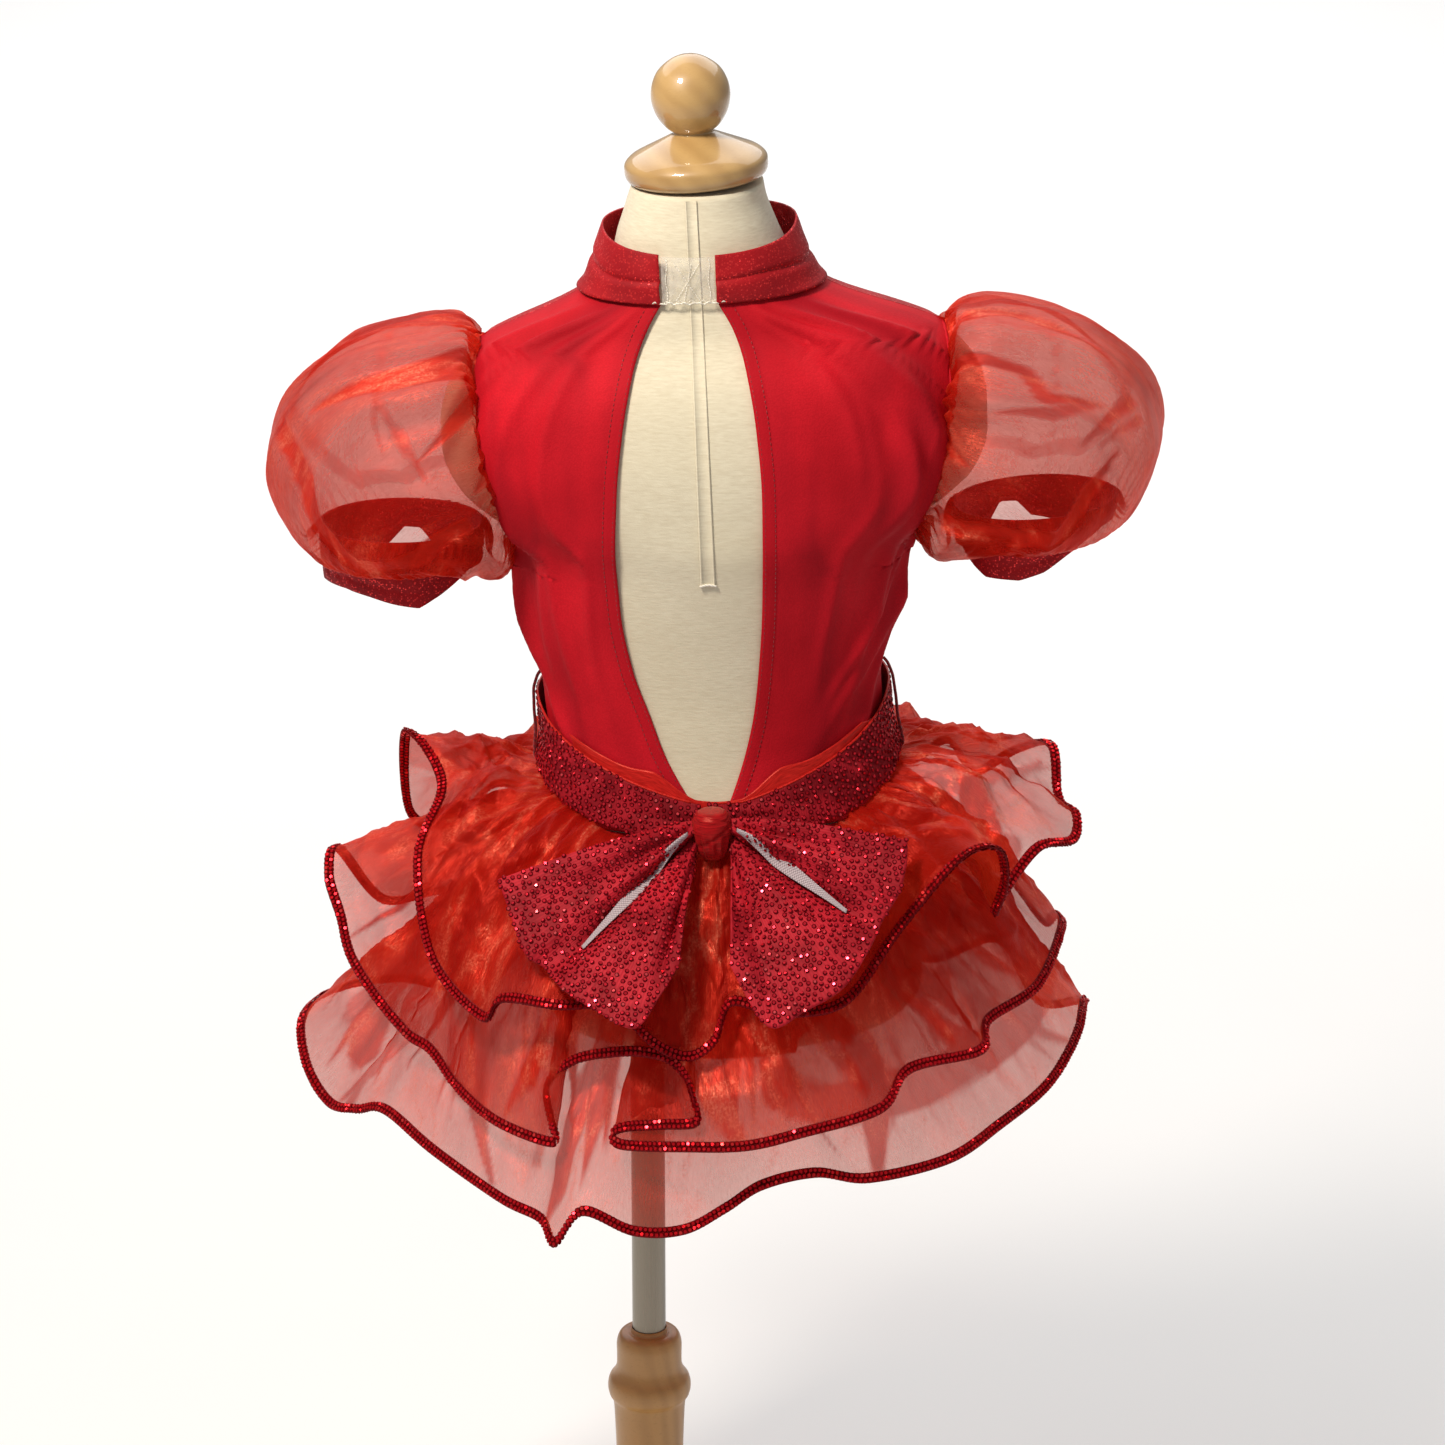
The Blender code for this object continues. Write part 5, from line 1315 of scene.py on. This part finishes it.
TIER_FOLDS = [
    # tier, weight, (share of the depth, degrees round, half width in mm) along each folded strip
    (0, 0.8, [(0.05, 300, 14), (0.6, 285, 3)]), (0, 0.8, [(0.05, 318, 12), (0.85, 335, 5)]),
    (0, 0.8, [(0.08, 60, 12), (0.6, 92, 3)]), (0, 0.8, [(0.1, 40, 12), (0.85, 38, 6)]),
    (0, 0.7, [(0.2, 80, 8), (0.85, 97, 2)]), (0, 0.8, [(0.3, 262, 9), (0.9, 266, 2)]),
    (0, 0.75, [(0.55, 268, 14), (0.93, 272, 16)]), (0, 0.6, [(0.6, 250, 8), (0.95, 258, 10)]),
    (0, 0.7, [(0.2, 352, 10), (0.9, 348, 4)]),
    (1, 0.8, [(0.45, 318, 10), (0.98, 316, 3)]), (1, 0.7, [(0.5, 330, 10), (0.95, 326, 5)]),
    (1, 0.8, [(0.5, 345, 14), (0.95, 352, 4)]), (1, 0.8, [(0.4, 5, 12), (0.9, 10, 2)]),
    (1, 0.8, [(0.3, 22, 14), (0.9, 26, 3)]), (1, 0.7, [(0.4, 45, 12), (0.92, 50, 3)]),
    (1, 0.8, [(0.6, 285, 8), (0.95, 279, 1)]),
    (2, 0.85, [(0.45, 330, 14), (0.99, 323, 1)]), (2, 0.8, [(0.65, 8, 12), (0.97, 350, 2)]),
    (2, 0.85, [(0.45, 22, 13), (0.96, 17, 3)]), (2, 0.7, [(0.65, 282, 8), (0.95, 276, 2)]),
    (2, 0.8, [(0.5, 300, 12), (0.95, 312, 2)]), (2, 0.7, [(0.5, 50, 8), (0.95, 62, 2)])]
TIER_STRIPS = (84, 130, 170)    # small folded strips strewn over each tier
TIER_COVER = (0.8, 0.78, 0.62)  # how closely the gathers cover at the waist
TIER_ROWS, TIER_COLUMNS = 44, 760
TRIM_WIDTH, TRIM_ROW, TRIM_STEP = 6.4, 1.45, 2.8
for index, (name, node, hem, pleats, cut_length, cut_depth) in enumerate((
        ("ruffle_top", "skirt_tier_top", HEM_TOP, 70, 1.54, 0.112),
        ("ruffle_middle", "skirt_tier_middle", HEM_MIDDLE, 66, 1.64, 0.148),
        ("ruffle_low", "skirt_tier_low", HEM_LOW, 62, 1.50, 0.172))):
    side_z, back_z, off, power, lift, sag = TIER_SEAM[index]
    hem_points, root = hem_line(hem, TIER_COLUMNS)
    behind = np.maximum(0.0, np.cos(np.radians(root))) ** 2
    seam_z = side_z + (back_z - side_z) * behind
    start = on_body(seam_z, root, np.full(TIER_COLUMNS, off))
    v = np.linspace(0, 1, TIER_ROWS)[:, None]
    grid = start[None] + (hem_points - start)[None] * (v ** 0.85)[..., None]
    grid[..., 2] = start[None, :, 2] + (hem_points - start)[None, :, 2] * v ** power
    grid[..., 2] += (lift * (1 - behind) - sag * behind)[None] * np.sin(np.pi * v)
    turn = 2 * np.pi * np.arange(TIER_COLUMNS)[None, :] / TIER_COLUMNS
    lean = turn + 0.025 * np.sin(4 * v + 3 * turn)
    swing = np.sin(np.pi * np.minimum(1, v * 1.3))
    push = 2.2 * swing * np.cos(np.radians(root * (19 - index)))[None, :]
    push += (1.7 * np.clip(v / 0.12, 0, 1) * np.exp(-v / 0.3)
             * ripple(lean, pleats * 1.4, 60 + index))
    push += 1.6 * np.sin(np.pi * np.clip(v * 1.15, 0, 1)) * ripple(lean, pleats * 0.6, 70 + index)
    # Crisp cloth buckles in facets with sharp ridges between them
    hill = np.sin(np.pi * np.clip(0.08 + v * 0.98, 0, 1)) ** 0.7
    push += hill * (8.0 * (0.5 - np.abs(lumps(lean, v, 31, 3, 20 + index)))
                    + 4.4 * (0.5 - np.abs(lumps(lean, v, 70, 6, 30 + index)))
                    + 1.6 * (0.5 - np.abs(lumps(lean, v, 150, 12, 40 + index))))
    rng = np.random.default_rng(100 + index)
    lines = [(w, line) for tier, w, line in TIER_FOLDS if tier == index]
    for _ in range(TIER_STRIPS[index]):
        at, long, wide = rng.uniform(0, 360), rng.uniform(0.25, 0.7), 2.5 + 12 * rng.random() ** 2
        head, slant = rng.uniform(0, 0.35), rng.uniform(-11, 11)
        near, far = (wide, 0.4) if rng.random() < 0.75 else (0.6, wide * 0.8)
        lines.append((rng.uniform(0.5, 1.0),
                      [(head, at, near), (min(head + long, 0.99), at + slant, far)]))
    folded = np.zeros((TIER_ROWS, TIER_COLUMNS))
    for weight, line in lines:
        inside = strip_share(v, np.degrees(turn), line, 700.0 * cut_depth, 3.1, 2.2)
        push += 2.4 * weight * inside * (1 - v ** 8)
        folded = np.maximum(folded, weight * inside)
    patchy = 0.72 + 0.5 * lumps(lean, v, 60, 5, 50 + index)
    folded = np.maximum(folded, patchy * np.exp(-(v / 0.4) ** 2))
    folded = np.clip(np.maximum(folded, TIER_COVER[index] * (1 - v) ** 0.55), 0, 1)
    up = grid_normals(grid[::-1])[::-1]
    grid = grid + up * (np.sign(up[..., 2].mean()) * push)[..., None]
    ruffle = cloth(name, grid[::-1], organza, ring=True, marks={"folded": folded[::-1]})
    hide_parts(node)
    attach(ruffle, "root")
    # The tape lies flat on the hem, and the sequins on the tape
    last, inner = grid[-1], grid[-3]
    inward = unit(inner - last)
    ahead = unit(np.roll(last, -1, 0) - np.roll(last, 1, 0))
    away = unit(np.cross(inward, ahead))
    away = away * np.sign(away[:, 2].mean())
    turns = 2 * np.pi * np.arange(8) / 8
    middle = last + inward * (TRIM_WIDTH / 2 - 1.0)
    tape_grid = (middle[None] + inward[None] * (np.cos(turns) * TRIM_WIDTH / 2)[:, None, None]
                 + away[None] * (np.sin(turns) * 0.55)[:, None, None])
    tape_grid = np.concatenate([tape_grid, tape_grid[:1]])
    hem_tape = cloth(name + "_tape", tape_grid, tape_mat, ring=True)
    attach(hem_tape, "root")
    spots, outs, ons = [], [], []
    for row, shift in ((-TRIM_ROW, 0.0), (TRIM_ROW, 1.3)):
        line = np.concatenate([middle + inward * row, (middle + inward * row)[:1]])
        facing = np.concatenate([away, away[:1]])
        p, way, share = even(line, TRIM_STEP, shift)
        at = share * (len(line) - 1)
        face = unit(along(at, np.arange(len(line)), facing))
        spots += [p + face * 0.9, p - face * 0.9]
        outs += [face, -face]
        ons += [way, way]
    hem_sequins = repeated(name + "_sequins", trim_tree,
                           row_points(*map(np.concatenate, (spots, outs, ons))),
                           trim_film, Radius=1.75 * MM, Height=0.75 * MM, Tilt=0.26,
                           Seed=11 + index)


# Sash: raspberry knit strewn with cup sequins, lined with satin, which shows as a narrow
# crescent above its back edges. Cord loops at the side seams carry it.

SASH = np.array([
    # deg, low, high
    (-180, -40, 6), (-130, -39, 7), (-90, -37, 5), (-62, -46, -8), (-38, -56, -24),
    (-20, -61, -35), (-7, -62, -42)], float)
PANEL_OUT, SASH_OFF, SASH_COLUMNS = CLEAR + CLOTH + 0.3, 3.5, 300


def sash_at(deg, col):
    """Sash edge height; the two sides are alike."""
    return column(SASH, -np.abs((np.asarray(deg, float) + 180) % 360 - 180), col)


def knit_finish(name, light, deep):
    """Ribbed stretch knit under the sequins, ribs 1.4 mm apart."""
    mat, tree = finish_of(name)
    uv = cloth_place(tree)
    where = object_place(tree)
    ribs = put(tree, "ShaderNodeTexWave", {"Vector": uv, "Scale": 0.314 * UV_UNIT / 1.4,
                                           "Distortion": 1.0}, bands_direction="X")
    shade = noise(tree, where, 55.0, 4.0)
    colour = blend_of(tree, light, deep, ranged(tree, shade, 0.38, 0.62))
    colour = blend_of(tree, colour, "#6A0A18", ranged(tree, ribs.outputs["Fac"], 0.3, 1.0, 0, 0.25))
    bump = bumped(tree, ribs.outputs["Fac"], 0.25, 0.0004)
    surface(tree, {
        "Base Color": colour, "Roughness": 0.6, "Sheen Weight": 0.1,
        "Sheen Tint": linear("#FF5060"),
        "Specular IOR Level": 0.15, "Normal": bump})
    return mat


knit = knit_finish("raspberry_sequin_knit", "#C82232", "#940E1C")
# Painted shade: the sash is the same knit, painted darker because it lies in shade
sash_knit_painted_shade = knit_finish("raspberry_sequin_knit_painted_shade", "#B01C2A", "#7C0C18")


def satin_finish(name, light, deep, sheen):
    """Polyester satin: long float threads, with broad soft streaks of sheen painted into its
    colour.
    """
    mat, tree = finish_of(name)
    uv = cloth_place(tree)
    float_bumps_and_painted_sheen = noise(tree, uv, 1.0, 3.0, (300, 2600, 1))
    # Painted sheen: the colour is lighter and darker along the float streaks
    colour = blend_of(tree, light, deep, ranged(tree, float_bumps_and_painted_sheen, 0.35, 0.7))
    bump = bumped(tree, float_bumps_and_painted_sheen, 0.3, 0.0004)
    surface(tree, {
        "Base Color": colour, "Roughness": 0.36, "Sheen Weight": sheen, "Specular IOR Level": 0.5,
        "Specular Tint": linear("#FF8A78"),
        "Sheen Tint": linear("#FFA080"), "Anisotropic": 0.5, "Normal": bump})
    return mat


satin = satin_finish("red_polyester_satin", "#CC2420", "#9E1412", 0.1)
# Colours: face, painted shade of the rim, painted glint
film = sequin_film("raspberry_sequin_film", "#D82C3C", "#5E0610", "#FF6A70")
strewn_tree = repeat_tree("sequins_strewn", "strewn cup")


def strewn(name, grid, seed):
    """Cup sequins sewn all over a cloth, on its outer face."""
    rows, cols = grid.shape[:2]
    faces = [(i * cols + j, i * cols + j + 1, (i + 1) * cols + j + 1, (i + 1) * cols + j)
             for i in range(rows - 1) for j in range(cols - 1)]
    mesh = bpy.data.meshes.new("sewn_face")
    mesh.from_pydata([tuple(p) for p in to_room(grid).reshape(-1, 3)], [], faces)
    mesh.update()
    return repeated(name, strewn_tree, mesh, film, Radius=1.5 * MM, Height=0.5 * MM,
                    Spacing=3.15 * MM, Tilt=0.34, Seed=seed)


deg = np.linspace(-3, 354, SASH_COLUMNS)
grid = []
for share in np.linspace(0, 1, 18):
    z = sash_at(deg, 1) + (sash_at(deg, 2) - sash_at(deg, 1)) * share
    near_knot = np.exp(-(np.abs((deg + 180) % 360 - 180) / 22) ** 2)
    fold = near_knot * 1.0 * math.sin(3.5 * math.pi * share) * math.sin(math.pi * share)
    sag = 0.5 * ripple(np.radians(deg) + 0.6 * share, 13, 2) * math.sin(math.pi * share)
    grid.append(on_body(z, deg, PANEL_OUT + SASH_OFF + 0.3 + fold * 0.6 + np.abs(sag)))
grid = np.array(grid)
sash = cloth("sash_band", grid, sash_knit_painted_shade, thick=0.9)
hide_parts("sash")
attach(sash, "root")
sash_sequins = strewn("sash_sequins", grid + grid_normals(grid, False) * 1.25, 3)
edge_path = on_body(sash_at(deg, 2) + 0.2, deg, np.full(SASH_COLUMNS, PANEL_OUT + SASH_OFF + 0.8))
binding = tube("sash_binding", edge_path[2:-2], 0.8, satin, 8)
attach(binding, "root")

for side, name, node in ((-1, "sash_satin_left", "sash_lining_left"),
                         (1, "sash_satin_right", "sash_lining_right")):
    deg = np.linspace(-5.2, 62, 100) if side > 0 else np.linspace(-62, -2.6, 100)
    show = (6.0 * np.sqrt(np.clip(np.sin(np.radians((np.abs(deg) - 10) * 180 / 52)), 0, 1))
            * np.clip((np.abs(deg) - 10) / 10, 0, 1) + 6 * bell(np.abs(deg), 18, 9) + 0.8)
    show *= np.clip((62 - np.abs(deg)) / 6, 0.1, 1)
    low, high = sash_at(deg, 2) - 12, sash_at(deg, 2) + np.maximum(show, 0.5)
    grid = []
    for share in np.linspace(0, 1, 16):
        wave = 0.5 * np.sin(np.radians(deg * 9) + 2.2 * share) * math.sin(math.pi * share)
        off = PANEL_OUT + 1.75 + 0.4 * side + np.abs(wave)
        grid.append(on_body(low + (high - low) * share, deg, off))
    lining = cloth(name, np.array(grid), satin, thick=0.7)
    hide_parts(node)
    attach(lining, "root")

loop_yarn, tree = finish_of("red_loop_yarn")
twist = put(tree, "ShaderNodeTexWave", {
    "Vector": object_place(tree), "Scale": 160.0,
    "Distortion": 1.0}, bands_direction="DIAGONAL")
colour = blend_of(tree, "#9C1220", "#6A0A14", twist.outputs["Fac"])
bump = bumped(tree, twist.outputs["Fac"], 0.6, 0.0004)
surface(tree, {"Base Color": colour, "Roughness": 0.6,
                                                "Sheen Weight": 0.3, "Normal": bump})

LOOP = np.array([
    # z, off
    (17, 3.9), (14, 6.5), (6, 9.4), (-8, 10.4), (-20, 10.2), (-30, 9.6), (-37, 8.6),
    (-40.3, 6), (-41, 3.9)], float)
for side, name, node in ((-1, "loop_cord_left", "belt_loop_left"),
                         (1, "loop_cord_right", "belt_loop_right")):
    skin_at = body(LOOP[:, 0], side * 90.0)
    corners = np.stack([skin_at[:, 0] + side * LOOP[:, 1], skin_at[:, 1], LOOP[:, 0]], -1)
    path, _, _ = even(corners, 1.0)
    for _ in range(3):
        path[1:-1] = (path[:-2] + 2 * path[1:-1] + path[2:]) / 4
    loop = tube(name, path, 0.95, loop_yarn, 10)
    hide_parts(node)
    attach(loop, "root")


# Bow: two flared ends of the sequin knit, each gathered to the knot and pleated once, so
# that its grey mesh backing shows in the pleat. The knot is a wrapped strip of the satin.

BOW_ENDS = {
    -1: [
        # x, y, z
        (-131, -122, -68), (-124, -138, -84), (-116, -155, -101), (-104, -160, -109),
        (-94, -181, -113), (-74, -194, -122), (-53, -205, -128), (-38, -192, -114),
        (-27, -177, -101)],
    1: [
        # x, y, z
        (106, -131, -49), (105, -142, -59), (100, -152, -73), (90, -156, -88),
        (82, -170, -99), (66, -186, -116), (44, -194, -126), (22, -200, -132),
        (2, -172, -106)],
}
BOW_ROOT = {
    # side: x, y, upper z, lower z of the gathered end beside the knot
    -1: (-16.3, -102, -44, -62),
    1: (4.0, -102, -44, -62),
}
backing, tree = finish_of("grey_stretch_net")
uv = cloth_place(tree)
net = put(tree, "ShaderNodeTexChecker", {"Vector": uv, "Scale": UV_UNIT / 0.9})
colour = blend_of(tree, "#C6B8BE", "#8E8288", net.outputs["Fac"])
surface(tree, {"Base Color": colour, "Roughness": 0.8,
                                                "Sheen Weight": 0.3})

BOW_COLUMNS, BOW_ROWS = 110, 70
for side, name, node in ((-1, "bow_end_left", "bow_left"), (1, "bow_end_right", "bow_right")):
    ends = np.array(BOW_ENDS[side], float)
    root_x, root_y, root_high, root_low = BOW_ROOT[side]
    t = np.linspace(0, 1, BOW_COLUMNS)
    place = t * (len(ends) - 1)
    hem = []
    for r in place:
        i = min(int(r), len(ends) - 2)
        hem.append(curve_at(ends, i, r - i))
    hem = np.array(hem)
    root = np.stack([np.full(BOW_COLUMNS, root_x), root_y + 3 * np.cos(4 * np.pi * t),
                     root_high + (root_low - root_high) * t], -1)
    share = np.linspace(0, 1, BOW_ROWS)[:, None]
    grid = root[None] + (hem - root)[None] * share[..., None]
    puff = np.sin(np.pi * share) * 7
    # The upper half laps over the pleat, so its upper side is steep and its lower side slopes
    across = (t[None] - 0.43) / np.where(t[None] < 0.43, 0.045, 0.085)
    pleat = np.exp(-across ** 2) * np.sin(np.pi * share ** 0.7) * 12
    tucks = (5.5 * bell(t[None], 0.84, 0.045) + 4.5 * bell(t[None], 0.16, 0.05)
             + 3.0 * bell(t[None], 0.66, 0.03)) * np.sin(np.pi * share ** 0.6) * np.exp(-share)
    small = np.sin(np.pi * share) * (np.exp(-share / 0.35) * 3.4 * np.sin(30 * t[None] + side)
                                     + 2.4 * np.sin(11 * t[None] + 3 * share))
    out_way = np.array([0, -0.8, 0.6])
    bare, spanned = grid, puff + small + 3.4 - np.minimum(5.9, pleat)
    grid = grid + out_way * (puff - pleat - tucks + small)[..., None]
    shown = grid if side > 0 else grid[::-1]
    half_bow = cloth(name, shown, knit, thick=1.0)
    half_bow.data.materials.append(backing)
    half_bow.modifiers["cloth thickness"].material_offset = 0
    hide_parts(node)
    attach(half_bow, "root")
    away = grid_normals(shown, False)
    sequins = strewn(name + "_sequins", shown + away * 1.35, 20 + side)
    strip = []
    for k in range(BOW_ROWS):
        s = k / (BOW_ROWS - 1)
        if 0.04 <= s <= 0.8:
            width = (0.13 * (s / 0.28) ** 1.4 * math.exp(1.4 - 1.4 * s / 0.28) * (1 - s / 0.82)
                     + 0.009)
            at = 0.46 - 0.26 * math.exp(-s / 0.2) - 0.02 * s
            lift = np.interp(at, t, spanned[k])
            strip.append([[np.interp(at + width * u, t, bare[k][:, c]) + lift * out_way[c]
                           for c in range(3)] for u in np.linspace(-1, 1, 9)])
    strip = np.array(strip)
    net_strip = cloth(name + "_backing", strip if side > 0 else strip[::-1], backing, thick=0.5)
    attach(net_strip, "root")

KNOT, KNOT_HALF = np.array([-6.5, -101.9, -52.6]), np.array([11.0, 11.5, 15.2])
turn = 2 * np.pi * np.arange(96)[None, :] / 96
lat = np.pi * np.linspace(0.03, 0.97, 48)[:, None]
round_off = np.sin(lat) ** (0.4 + 0.3 * (lat < 1.57)) * (1.04 - 0.1 * np.cos(lat + 0.3))
folds = (1 + 0.02 * ripple(turn + 0.2 * lat, 9, 4)
         - 0.06 * np.exp(-((lat - 1.75 - 0.5 * np.sin(turn + 1.2)) / 0.1) ** 2)
         - 0.05 * np.exp(-((lat - 2.2 + 0.45 * np.sin(turn + 0.5)) / 0.08) ** 2)
         - 0.04 * np.exp(-((lat - 2.5 - 0.2 * np.sin(turn)) / 0.07) ** 2)
         - 0.13 * np.abs(np.sin(6.5 * turn + 0.5 * lat)) * np.clip((1.9 - lat) / 0.6, 0, 1))
grid = np.stack([KNOT[0] + KNOT_HALF[0] * round_off * np.cos(turn) * folds,
                 KNOT[1] + KNOT_HALF[1] * round_off * np.sin(turn) * folds,
                 KNOT[2] - KNOT_HALF[2] * np.cos(lat) + 0 * turn], -1)
knot_satin = satin_finish("crimson_satin", "#B4141C", "#780810", 0.08)
knot = cloth("bow_knot_wrap", grid, knot_satin, ring=True, caps=True)
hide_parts("bow_knot")
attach(knot, "root")


low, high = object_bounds()
